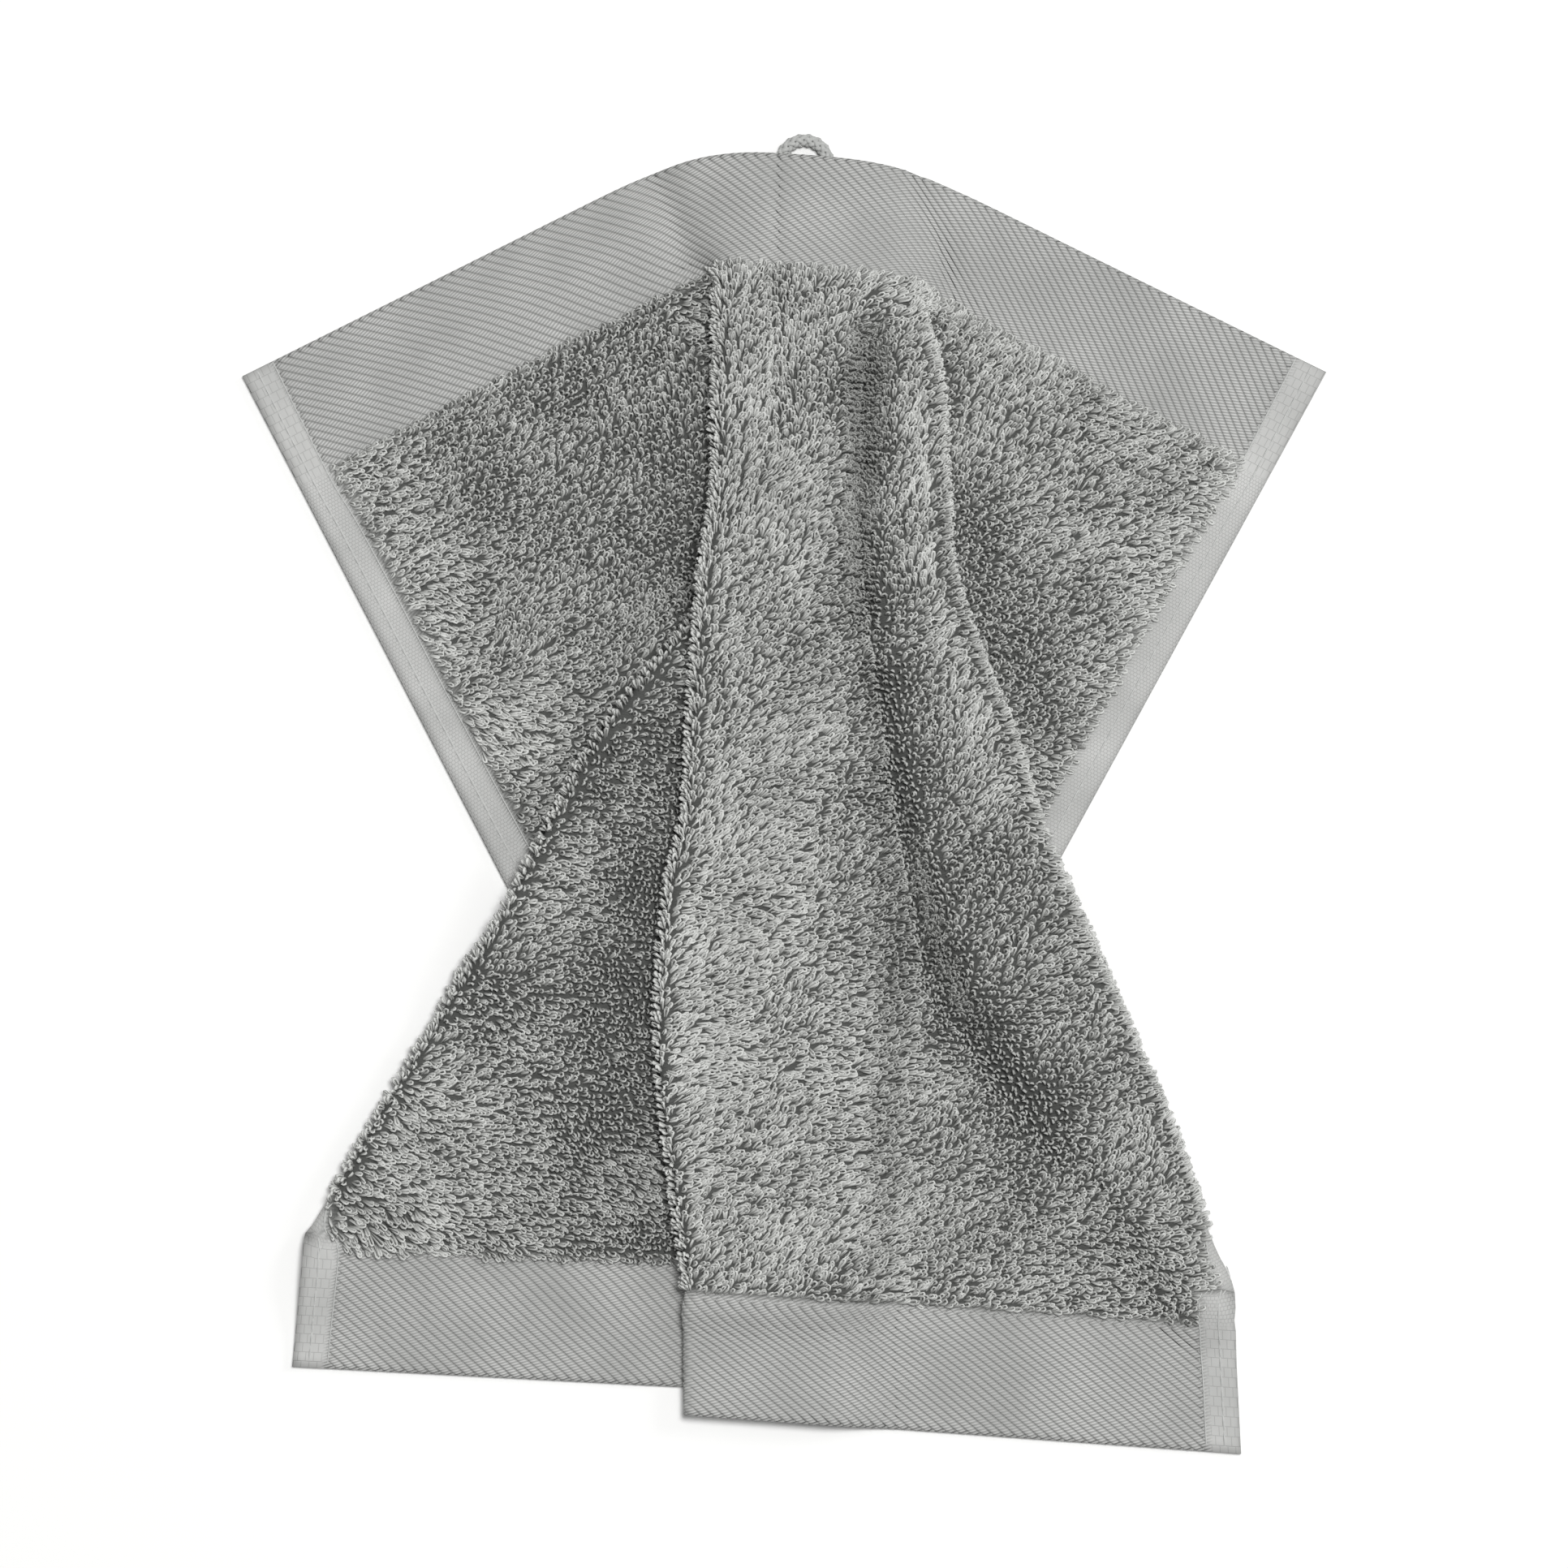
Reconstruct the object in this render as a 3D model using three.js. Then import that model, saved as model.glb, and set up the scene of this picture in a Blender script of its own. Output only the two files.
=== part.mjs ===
// A terry washcloth laid out in loose pleats, with a cord loop sewn behind its top hem.
// Millimetres. +X is to the right, +Y runs from the bottom hem to the top hem, +Z is up, and the cloth
// lies on z = 0. "down" is a distance along the flat cloth, measured from its top hem.
import * as THREE from "three";

// Driving dimensions
const clothLength = 312;
const bandHeight = 29;
const hemWidth = 8.5;
const terryThickness = 3.4;
const hemThickness = 2;
const layerPitch = 4.8;
const bandLayerPitch = 2.8;
const thicknessStep = 2.2;
const topHemLift = 3.8;
const rowSpacing = 8.5;

// Lengths down the cloth over which a pleat that has closed settles into its folds, and a hem that has left
// a fold turns flat again
const foldInLength = 14;
const hemUnrollLength = 9;

// Widths over which a layer comes down beside what it lies on
const slopeWidth = {
  leftUnder: 16,
  leftFront: 26,
  centreUnder: 12,
  rightUnder: 12,
  bridge: 6,
};
// The front panel's trough lies between the slopes of the centre and right pleats, which widen down the cloth
const troughSlope = { centreAtTop: 8, centreBelow: 18, rightAtTop: 9, rightBelow: 13 };

// Heights on the floor plan, as y, between which the trough's slopes widen, the raised top comes down to the
// top hem, and the layers close up from terry to band
const troughWidens = { below: -10, above: 60 };
const topComesDown = { below: 124, above: 148 };
const bandsClose = { below: -131, above: -121.5 };

// A cloth point's place across the back where the left pleat has not begun: the ends of its flat slope
const leftPleatFlatFrom = 0.875;
const leftPleatFlatTo = 0.945;

const loopCord = 3.4;
const loopMiddle = { x: 4.8, y: 151.6, z: 1.75 };
const loopRadius = 5.7;
const loopLegLength = 9;
const loopStrands = 3;
const loopTwistPitch = 9;
const loopStrandDepth = 0.16;

const clothGrey = 0x8f908e;
const loopGrey = 0x9b9c9a;

// Edges and fold lines, seen from above. A fold line is where the cloth starts to turn.
const leftEdge = [
  { down: 0, x: -130.5, y: 100.5 },
  { down: 195.5, x: -40.5, y: -73 },
  { down: 279.5, x: -112, y: -106 },
  { down: 287.5, x: -116, y: -114 },
  { down: 312, x: -118.5, y: -138 },
];
const rightEdge = [
  { down: 0, x: 130.5, y: 101.5 },
  { down: 165.5, x: 51, y: -44 },
  { down: 274, x: 105, y: -119.5 },
  { down: 283, x: 108.5, y: -129 },
  { down: 312, x: 110, y: -159 },
];
const leftValley = [
  { down: 93.5, x: -5, y: 62 },
  { down: 105.5, x: -8, y: 54 },
  { down: 129, x: -18, y: 13.5 },
  { down: 157, x: -27.5, y: -23 },
  { down: 177.5, x: -34.5, y: -49.5 },
  { down: 195.5, x: -40.5, y: -73 },
];
const leftMountain = [
  { down: 93.5, x: 1.5, y: 65.5 },
  { down: 105.5, x: -8, y: 54 },
  { down: 129, x: -19, y: 40.5 },
  { down: 157, x: -41.5, y: 13 },
  { down: 177.5, x: -52.5, y: -6.5 },
  { down: 207.5, x: -68, y: -35.5 },
  { down: 237.5, x: -86.5, y: -65 },
  { down: 269.5, x: -105, y: -96 },
  { down: 279.5, x: -111, y: -106 },
];
const centreValley = [
  { down: 0, x: -32.5, y: 149.5 },
  { down: 15.5, x: -26, y: 139 },
  { down: 23.5, x: -21, y: 132 },
  { down: 30, x: -15.5, y: 126 },
  { down: 46, x: -7, y: 112.5 },
  { down: 61, x: -0.5, y: 99 },
  { down: 75.5, x: 4.5, y: 85.5 },
  { down: 109, x: 8, y: 54 },
  { down: 136, x: 10.5, y: 31.5 },
  { down: 172, x: 11.5, y: -4.5 },
  { down: 211, x: 10.5, y: -43.5 },
  { down: 269.5, x: 8, y: -102 },
  { down: 312, x: 6, y: -144.5 },
];
const centreMountain = [
  { down: 0, x: -17, y: 155 },
  { down: 15.5, x: -16.5, y: 139.5 },
  { down: 30, x: -15.5, y: 126 },
  { down: 44, x: -13, y: 112.5 },
  { down: 64, x: -13.5, y: 93 },
  { down: 84, x: -13.5, y: 73.5 },
  { down: 104, x: -16.5, y: 54 },
  { down: 144, x: -19.5, y: 15 },
  { down: 164, x: -20.5, y: -4.5 },
  { down: 184.5, x: -25, y: -24 },
  { down: 224.5, x: -27, y: -63 },
  { down: 264.5, x: -22.5, y: -102 },
  { down: 281, x: -20.5, y: -118.5 },
  { down: 288.5, x: -22, y: -126 },
  { down: 312, x: -22, y: -149.5 },
];
const rightMountain = [
  { down: 0, x: 23, y: 152.5 },
  { down: 19.5, x: 26, y: 133.5 },
  { down: 30, x: 29, y: 123.5 },
  { down: 39, x: 31.5, y: 112.5 },
  { down: 60, x: 34.5, y: 93 },
  { down: 80, x: 35.5, y: 73.5 },
  { down: 100, x: 37, y: 54 },
  { down: 120.5, x: 43.5, y: 33 },
  { down: 140, x: 51.5, y: 13.5 },
  { down: 163.5, x: 59, y: -10 },
  { down: 204, x: 76.5, y: -50.5 },
  { down: 231, x: 88.5, y: -78 },
  { down: 262, x: 100, y: -109 },
  { down: 274, x: 105, y: -119.5 },
];
const rightValley = [
  { down: 0, x: 36, y: 148 },
  { down: 19.5, x: 37.5, y: 127.5 },
  { down: 30, x: 36, y: 118 },
  { down: 39, x: 31.5, y: 112.5 },
  { down: 53, x: 31, y: 93 },
  { down: 71.5, x: 28.5, y: 73.5 },
  { down: 89.5, x: 27, y: 54 },
  { down: 113, x: 32, y: 25 },
  { down: 136, x: 38.5, y: -4.5 },
  { down: 165.5, x: 51, y: -44 },
];
// The dark trough down the front panel, as a place across it: 0 at its left fold, 1 at its right one.
const trough = [
  { down: 0, plateauEnd: 0.35, bottom: 0.5, foot: 0.65 },
  { down: 46, plateauEnd: 0.56, bottom: 0.67, foot: 0.8 },
  { down: 100, plateauEnd: 0.55, bottom: 0.67, foot: 0.74 },
  { down: 160, plateauEnd: 0.44, bottom: 0.58, foot: 0.74 },
  { down: 220, plateauEnd: 0.36, bottom: 0.54, foot: 0.76 },
  { down: 312, plateauEnd: 0.25, bottom: 0.5, foot: 0.75 },
];
// The raised part below the top hem, where the front panel bridges from pleat to pleat
const bridgeLeftSide = [
  { x: -22, y: 162 },
  { x: -18, y: 117 },
  { x: -18.5, y: 77 },
  { x: -22, y: 48 },
];
const bridgeRightSide = [
  { x: 23, y: 160 },
  { x: 26, y: 133.5 },
  { x: 28.5, y: 122.5 },
  { x: 23, y: 116.5 },
  { x: 13.5, y: 112.5 },
  { x: 12.5, y: 97 },
  { x: 12, y: 54 },
];

// Where the pleats close, and where their folds run out at the side hems, as distances down the cloth
const leftPleatStart = 93.5;
const leftPleatClosed = 105.5;
const leftValleyEnd = 195.5;
const leftMountainEnd = 279.5;
const centrePleatClosed = 30;
const rightPleatClosed = 39;
const rightValleyEnd = 165.5;
const rightMountainEnd = 274;

const smooth = (low, high, value) => THREE.MathUtils.smoothstep(value, low, high);
const mix = THREE.MathUtils.lerp;

function segmentOf(line, down) {
  let index = 0;
  while (index < line.length - 2 && down > line[index + 1].down) index += 1;
  const share = (down - line[index].down) / (line[index + 1].down - line[index].down);
  return [index, THREE.MathUtils.clamp(share, 0, 1)];
}

function straightAlong(line, down, name) {
  const [index, share] = segmentOf(line, down);
  return mix(line[index][name], line[index + 1][name], share);
}

function smoothAlong(line, down, name) {
  const [index, share] = segmentOf(line, down);
  const slope = (i) => {
    const before = line[Math.max(i - 1, 0)];
    const after = line[Math.min(i + 1, line.length - 1)];
    return (after[name] - before[name]) / (after.down - before.down);
  };
  const start = line[index];
  const end = line[index + 1];
  const span = end.down - start.down;
  const s2 = share * share;
  const s3 = s2 * share;
  return (
    (2 * s3 - 3 * s2 + 1) * start[name] +
    (s3 - 2 * s2 + share) * span * slope(index) +
    (3 * s2 - 2 * s3) * end[name] +
    (s3 - s2) * span * slope(index + 1)
  );
}

const onEdge = (line, down) =>
  new THREE.Vector2(straightAlong(line, down, "x"), straightAlong(line, down, "y"));
const onFold = (line, down) =>
  new THREE.Vector2(smoothAlong(line, down, "x"), smoothAlong(line, down, "y"));

// How far a point lies outside a closed outline, and 0 inside it
function distanceOutside(outline, x, y) {
  let inside = false;
  let nearest = Infinity;
  outline.forEach((a, index) => {
    const b = outline[(index + 1) % outline.length];
    const dx = b.x - a.x;
    const dy = b.y - a.y;
    const along = ((x - a.x) * dx + (y - a.y) * dy) / (dx * dx + dy * dy || 1);
    const share = THREE.MathUtils.clamp(along, 0, 1);
    nearest = Math.min(nearest, Math.hypot(a.x + share * dx - x, a.y + share * dy - y));
    if (a.y > y !== b.y > y && x < a.x + ((y - a.y) / dy) * dx) inside = !inside;
  });
  return inside ? 0 : nearest;
}

const outlineStep = 6;
function outlineBetween(leftSide, rightSide, from, to) {
  const steps = Math.ceil((to - from) / outlineStep);
  const downs = Array.from({ length: steps + 1 }, (_, k) => mix(from, to, k / steps));
  return [...downs.map(leftSide), ...downs.reverse().map(rightSide)];
}

const leftInnerLine = (down) =>
  down < leftValleyEnd ? onFold(leftValley, down) : onEdge(leftEdge, down);
const rightInnerLine = (down) =>
  down < rightValleyEnd ? onFold(rightValley, down) : onEdge(rightEdge, down);

// Floor plans of the hidden layers, which lift whatever lies over them
const plan = {
  leftBack: outlineBetween(
    (down) => onEdge(leftEdge, down),
    (down) => onFold(leftValley, down),
    leftPleatClosed,
    leftValleyEnd,
  ),
  leftUnder: outlineBetween(
    (down) => onFold(leftMountain, down),
    leftInnerLine,
    leftPleatClosed,
    leftMountainEnd,
  ),
  centreUnder: outlineBetween(
    (down) => onFold(centreMountain, down),
    (down) => onFold(centreValley, down),
    centrePleatClosed,
    clothLength,
  ),
  rightBack: outlineBetween(
    (down) => onFold(rightValley, down),
    (down) => onEdge(rightEdge, down),
    rightPleatClosed,
    rightValleyEnd,
  ),
  rightUnder: outlineBetween(
    (down) => onFold(rightMountain, down),
    rightInnerLine,
    rightPleatClosed,
    rightMountainEnd,
  ),
  bridge: [
    ...bridgeLeftSide.map(({ x, y }) => new THREE.Vector2(x, y)),
    ...bridgeRightSide.map(({ x, y }) => new THREE.Vector2(x, y)).reverse(),
  ],
};

// 1 over a hidden layer and its folds, falling to 0 over the width of a slope beside it
const foldReach = (layerPitch + terryThickness) / 2 + 0.2;
const cover = (name, x, y, width) =>
  1 - smooth(foldReach, foldReach + width, distanceOutside(plan[name], x, y));
const pitchAt = (y) => mix(bandLayerPitch, layerPitch, smooth(bandsClose.below, bandsClose.above, y));

// Height of each layer's underside at a place on the floor plan
const layer = {
  leftBack: () => 0,
  leftUnder: (x, y) => layerPitch * cover("leftBack", x, y, slopeWidth.leftUnder),
  leftFront: (x, y) =>
    layerPitch *
    (cover("leftBack", x, y, slopeWidth.leftFront) + cover("leftUnder", x, y, slopeWidth.leftFront)),
  centreUnder: (x, y) =>
    layer.leftFront(x, y) + pitchAt(y) * cover("centreUnder", x, y, slopeWidth.centreUnder),
  front: (x, y) => {
    const atTop = smooth(troughWidens.below, troughWidens.above, y);
    const besideCentre = mix(troughSlope.centreBelow, troughSlope.centreAtTop, atTop);
    const besideRight = mix(troughSlope.rightBelow, troughSlope.rightAtTop, atTop);
    const left = layer.leftFront(x, y) + 2 * pitchAt(y) * cover("centreUnder", x, y, besideCentre);
    const right = cover("rightBack", x, y, besideRight) + cover("rightUnder", x, y, besideRight);
    const hemShare = smooth(topComesDown.below, topComesDown.above, y);
    const bridgeLift = mix(2 * layerPitch, topHemLift, hemShare);
    const bridgeCover = 1 - smooth(0, slopeWidth.bridge, distanceOutside(plan.bridge, x, y));
    return Math.hypot(Math.max(left, bridgeLift * bridgeCover), layerPitch * right);
  },
  rightUnder: (x, y) => layerPitch * cover("rightBack", x, y, slopeWidth.rightUnder),
  rightBack: () => 0,
};

const faceUp = 0;
const faceSide = Math.PI / 2;
const faceDown = Math.PI;

// A point of the cloth's middle surface: where it is, how the cloth is turned there, and what it lies on
const clothPoint = (place, base, turn = faceUp, along = new THREE.Vector2(1, 0), reach = 0, rise = 0) =>
  ({ place, base, turn, along, reach, rise });

// The two faces of the cloth at a point: side is 1 for the front face, -1 for the back and 0 for the middle
function facePoint(point, thickness, side) {
  const half = (side * thickness) / 2;
  const spot = point.place.clone().addScaledVector(point.along, point.reach - half * Math.sin(point.turn));
  const height = point.base(spot.x, spot.y) + thickness / 2 + point.rise + half * Math.cos(point.turn);
  return new THREE.Vector3(spot.x, spot.y, Math.max(height, 0));
}

// Points between two ends of a panel, at the given shares of its width, ends left out
const panelPoints = (start, end, base, shares, turn = faceUp) =>
  shares.map((share) => clothPoint(start.clone().lerp(end, share), base, turn));

const evenShares = (count) => Array.from({ length: count }, (_, k) => (k + 1) / (count + 1));

// A side panel's shares start with two at its hem, which draw together where the panel is narrow
const widestHemShare = 0.3;
const widestPileShare = 0.45;
function hemShares(width, count) {
  const hem = Math.min(hemWidth / width, widestHemShare);
  const beyondHem = Math.min((hemWidth + thicknessStep) / width, widestPileShare);
  const rest = Array.from({ length: count - 2 }, (_, k) => mix(beyondHem, 1, (k + 1) / (count - 1)));
  return [hem, beyondHem, ...rest];
}

function normalOf(line, down, towards) {
  const middle = THREE.MathUtils.clamp(down, line[0].down + 2, line.at(-1).down - 2);
  const ahead = onFold(line, middle + 2).sub(onFold(line, middle - 2));
  const normal = new THREE.Vector2(ahead.y, -ahead.x).normalize();
  return normal.dot(towards) < 0 ? normal.negate() : normal;
}

const foldDirection = (pleat, line, down, folded) =>
  pleat.rowDirection.clone().lerp(normalOf(line, down, pleat.rowDirection), folded).normalize();

// A point of a valley fold, which turns from face up round to face down
function valleyPoint(pleat, down, lower, turn, folded = 1) {
  const radius = (pleat.middle(lower.x, lower.y) - pleat.lower(lower.x, lower.y)) / 2;
  const along = foldDirection(pleat, pleat.valley, down, folded);
  const rise = radius * (1 - Math.cos(turn));
  return clothPoint(lower, pleat.lower, turn, along, radius * Math.sin(turn), rise);
}

// A point of a mountain fold, which turns from face down round to face up
function mountainPoint(pleat, down, upper, turn, folded = 1) {
  const radius = (pleat.upper(upper.x, upper.y) - pleat.middle(upper.x, upper.y)) / 2;
  const along = foldDirection(pleat, pleat.mountain, down, folded);
  const drop = radius * (1 - Math.cos(turn));
  return clothPoint(upper, pleat.upper, turn, along, -radius * Math.sin(turn), -drop);
}

// An open pleat is an S-shaped slope from one layer up to the next
function openPleatPoints(pleat, lower, upper) {
  const lowerHeight = pleat.lower(lower.x, lower.y);
  const height = Math.max(pleat.upper(upper.x, upper.y) - lowerHeight, 0.01);
  const direction = upper.clone().sub(lower).normalize();
  const bend = 2 * Math.atan(height / upper.distanceTo(lower));
  const radius = height / (2 * (1 - Math.cos(bend)));
  return Array.from({ length: pleat.steps + 1 }, (_, k) => {
    const share = k / pleat.steps;
    const turn = 2 * bend * Math.min(share, 1 - share);
    const reach = radius * Math.sin(turn);
    const rise = radius * (1 - Math.cos(turn));
    return share < 0.5
      ? clothPoint(lower, () => lowerHeight, turn, direction, reach, rise)
      : clothPoint(upper, () => lowerHeight, turn, direction, -reach, height - rise);
  });
}

// A closed pleat: a valley fold, the hidden layer lying face down, and a mountain fold over it. Its points
// are spread evenly where it has just closed, and keep to their fold or layer further down.
function pleatPoints(pleat, down, lower, upper) {
  if (down < pleat.closed) return openPleatPoints(pleat, lower, upper);
  const folded = smooth(pleat.closed, pleat.closed + foldInLength, down);
  const valleyRadius = (pleat.middle(lower.x, lower.y) - pleat.lower(lower.x, lower.y)) / 2;
  const mountainRadius = (pleat.upper(upper.x, upper.y) - pleat.middle(upper.x, upper.y)) / 2;
  const valleyLength = Math.PI * valleyRadius;
  const layerLength = lower.distanceTo(upper);
  const mountainLength = Math.PI * mountainRadius;
  const length = valleyLength + layerLength + mountainLength;
  const layerSteps = pleat.steps - pleat.valleySteps - pleat.mountainSteps;
  return Array.from({ length: pleat.steps + 1 }, (_, k) => {
    const settled =
      (valleyLength * Math.min(k, pleat.valleySteps)) / pleat.valleySteps +
      (layerLength * THREE.MathUtils.clamp(k - pleat.valleySteps, 0, layerSteps)) / layerSteps +
      (mountainLength * Math.max(k - pleat.valleySteps - layerSteps, 0)) / pleat.mountainSteps;
    const travelled = mix((length * k) / pleat.steps, settled, folded);
    const beyondValley = travelled - valleyLength;
    if (beyondValley <= 0) return valleyPoint(pleat, down, lower, travelled / valleyRadius, folded);
    if (beyondValley < layerLength) {
      return clothPoint(lower.clone().lerp(upper, beyondValley / layerLength), pleat.middle, faceDown);
    }
    return mountainPoint(pleat, down, upper, (length - travelled) / mountainRadius, folded);
  });
}

const leftPleat = {
  valley: leftValley,
  mountain: leftMountain,
  lower: layer.leftBack,
  middle: layer.leftUnder,
  upper: layer.leftFront,
  rowDirection: new THREE.Vector2(0.888, 0.46),
  closed: leftPleatClosed,
  valleySteps: 3,
  mountainSteps: 5,
  steps: 11,
};
const centrePleat = {
  valley: centreValley,
  mountain: centreMountain,
  lower: layer.leftFront,
  middle: layer.centreUnder,
  upper: layer.front,
  rowDirection: new THREE.Vector2(1, 0),
  closed: centrePleatClosed,
  valleySteps: 3,
  mountainSteps: 5,
  steps: 13,
};
const rightPleat = {
  valley: rightValley,
  mountain: rightMountain,
  lower: layer.rightBack,
  middle: layer.rightUnder,
  upper: layer.front,
  rowDirection: new THREE.Vector2(-0.888, 0.46),
  closed: rightPleatClosed,
  valleySteps: 3,
  mountainSteps: 5,
  steps: 11,
};

const backPanelPoints = 5;
const leftFrontPoints = 7;
const hiddenLayerPoints = 2;

function frontShares(down) {
  const plateauEnd = straightAlong(trough, down, "plateauEnd");
  const bottom = straightAlong(trough, down, "bottom");
  const foot = straightAlong(trough, down, "foot");
  return [
    plateauEnd / 4,
    plateauEnd / 2,
    (plateauEnd * 3) / 4,
    plateauEnd,
    mix(plateauEnd, bottom, 1 / 3),
    mix(plateauEnd, bottom, 2 / 3),
    bottom,
    mix(bottom, foot, 1 / 2),
    foot,
    mix(foot, 1, 1 / 3),
    mix(foot, 1, 2 / 3),
  ];
}
const frontPoints = frontShares(0).length;

// Column numbers at which the panels start when every fold is there
const column = {};
column.leftPleat = 1 + backPanelPoints;
column.leftFront = column.leftPleat + leftPleat.steps + 1;
column.centrePleat = column.leftFront + leftFrontPoints;
column.front = column.centrePleat + centrePleat.steps + 1;
column.rightPleat = column.front + frontPoints;
column.rightBack = column.rightPleat + rightPleat.steps + 1;

const mountainFold = (pleat, down, upper) =>
  Array.from({ length: pleat.mountainSteps + 1 }, (_, k) =>
    mountainPoint(pleat, down, upper, Math.PI * (1 - k / pleat.mountainSteps)));

// One row of the cloth, from its left hem to its right hem. A fold that has run out at a hem has no points.
function rowAt(down) {
  const left = onEdge(leftEdge, down);
  const right = onEdge(rightEdge, down);
  const centreLow = onFold(centreValley, down);
  const centreHigh = onFold(centreMountain, down);
  const beyond = (foldEnd) => smooth(0, hemUnrollLength, down - foldEnd);
  const points = [];
  let first = 0;
  if (down < leftValleyEnd) {
    const flat = down < leftPleatStart;
    const low = flat ? left.clone().lerp(centreLow, leftPleatFlatFrom) : onFold(leftValley, down);
    const high = flat ? left.clone().lerp(centreLow, leftPleatFlatTo) : onFold(leftMountain, down);
    points.push(clothPoint(left, layer.leftBack));
    const shares = hemShares(left.distanceTo(low), backPanelPoints);
    points.push(...panelPoints(left, low, layer.leftBack, shares));
    points.push(...pleatPoints(leftPleat, down, low, high));
    points.push(...panelPoints(high, centreLow, layer.leftFront, evenShares(leftFrontPoints)));
  } else if (down < leftMountainEnd) {
    const high = onFold(leftMountain, down);
    first = column.leftPleat + leftPleat.valleySteps;
    const shares = hemShares(left.distanceTo(high), hiddenLayerPoints);
    points.push(valleyPoint(leftPleat, down, left, mix(faceSide, faceDown, beyond(leftValleyEnd))));
    points.push(...panelPoints(left, high, layer.leftUnder, shares, faceDown));
    points.push(...mountainFold(leftPleat, down, high));
    points.push(...panelPoints(high, centreLow, layer.leftFront, evenShares(leftFrontPoints)));
  } else {
    first = column.leftFront - 1;
    const shares = hemShares(left.distanceTo(centreLow), leftFrontPoints);
    points.push(mountainPoint(leftPleat, down, left, mix(faceSide, faceUp, beyond(leftMountainEnd))));
    points.push(...panelPoints(left, centreLow, layer.leftFront, shares));
  }
  points.push(...pleatPoints(centrePleat, down, centreLow, centreHigh));
  if (down < rightMountainEnd) {
    const high = onFold(rightMountain, down);
    points.push(...panelPoints(centreHigh, high, layer.front, frontShares(down)));
    if (down < rightValleyEnd) {
      const low = onFold(rightValley, down);
      points.push(...pleatPoints(rightPleat, down, low, high).reverse());
      const shares = hemShares(right.distanceTo(low), backPanelPoints);
      points.push(...panelPoints(right, low, layer.rightBack, shares).reverse());
      points.push(clothPoint(right, layer.rightBack));
    } else {
      const shares = hemShares(right.distanceTo(high), hiddenLayerPoints);
      points.push(...mountainFold(rightPleat, down, high).reverse());
      points.push(...panelPoints(right, high, layer.rightUnder, shares, faceDown).reverse());
      points.push(valleyPoint(rightPleat, down, right, mix(faceSide, faceDown, beyond(rightValleyEnd))));
    }
  } else {
    points.push(...panelPoints(centreHigh, right, layer.front, frontShares(down)));
    points.push(mountainPoint(rightPleat, down, right, mix(faceSide, faceUp, beyond(rightMountainEnd))));
  }
  return { down, first, points };
}

// Thin in the woven bands and side hems, thick where the pile stands
function thicknesses(row) {
  const middles = row.points.map((point) => facePoint(point, terryThickness, 0));
  const travelled = [0];
  middles.slice(1).forEach((middle, k) => travelled.push(travelled[k] + middle.distanceTo(middles[k])));
  const fromTop = Math.min(row.down, clothLength - row.down) - bandHeight;
  return travelled.map((distance) => {
    const fromSide = Math.min(distance, travelled.at(-1) - distance) - hemWidth;
    return mix(hemThickness, terryThickness, smooth(0, thicknessStep, Math.min(fromTop, fromSide)));
  });
}

// Rows stand close before and after the place where a fold runs out at a hem
const rowBeforeFoldEnd = 0.8;
const rowAfterValleyEnd = 5;
const rowAfterMountainEnd = 2;

function clothGeometry() {
  const stops = [
    0,
    bandHeight,
    bandHeight + thicknessStep,
    leftPleatStart,
    leftPleatClosed,
    rightValleyEnd - rowBeforeFoldEnd,
    rightValleyEnd + rowAfterValleyEnd,
    leftValleyEnd - rowBeforeFoldEnd,
    leftValleyEnd + rowAfterValleyEnd,
    rightMountainEnd - rowBeforeFoldEnd,
    rightMountainEnd + rowAfterMountainEnd,
    leftMountainEnd - rowBeforeFoldEnd,
    clothLength - bandHeight - thicknessStep,
    clothLength - bandHeight,
    clothLength,
  ];
  const downs = stops.slice(1).flatMap((end, k) => {
    const steps = Math.max(1, Math.round((end - stops[k]) / rowSpacing));
    return Array.from({ length: steps }, (_, n) => mix(stops[k], end, n / steps));
  });
  const rows = [...downs, clothLength].map(rowAt);
  const vertices = [];
  const index = rows.map((row) => {
    const thick = thicknesses(row);
    return row.points.map((point, k) => {
      vertices.push(facePoint(point, thick[k], 1), facePoint(point, thick[k], -1));
      return vertices.length - 2;
    });
  });
  const front = [];
  rows.slice(1).forEach((lower, k) => {
    const upper = rows[k];
    const a = (id) => index[k][id - upper.first];
    const b = (id) => index[k + 1][id - lower.first];
    const lastOf = (row) => row.first + row.points.length - 1;
    const start = Math.max(upper.first, lower.first);
    const end = Math.min(lastOf(upper), lastOf(lower));
    for (let id = upper.first; id < start; id += 1) front.push([a(id), b(start), a(id + 1)]);
    for (let id = start; id < end; id += 1) {
      front.push([a(id), b(id), b(id + 1)], [a(id), b(id + 1), a(id + 1)]);
    }
    for (let id = end; id < lastOf(upper); id += 1) front.push([a(id), b(end), a(id + 1)]);
  });
  const back = front.map(([p, q, r]) => [p + 1, r + 1, q + 1]);
  const directed = new Set(front.flatMap(([p, q, r]) => [`${p} ${q}`, `${q} ${r}`, `${r} ${p}`]));
  const rim = front.flatMap(([p, q, r]) =>
    [[p, q], [q, r], [r, p]]
      .filter(([from, to]) => !directed.has(`${to} ${from}`))
      .flatMap(([from, to]) =>
        from < to
          ? [[to, from, from + 1], [to, from + 1, to + 1]]
          : [[to, from, to + 1], [from, from + 1, to + 1]],
      ),
  );
  const geometry = new THREE.BufferGeometry();
  const positions = vertices.flatMap((vertex) => vertex.toArray());
  geometry.setAttribute("position", new THREE.Float32BufferAttribute(positions, 3));
  geometry.setIndex([...front, ...back, ...rim].flat());
  geometry.computeVertexNormals();
  return geometry;
}

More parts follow.
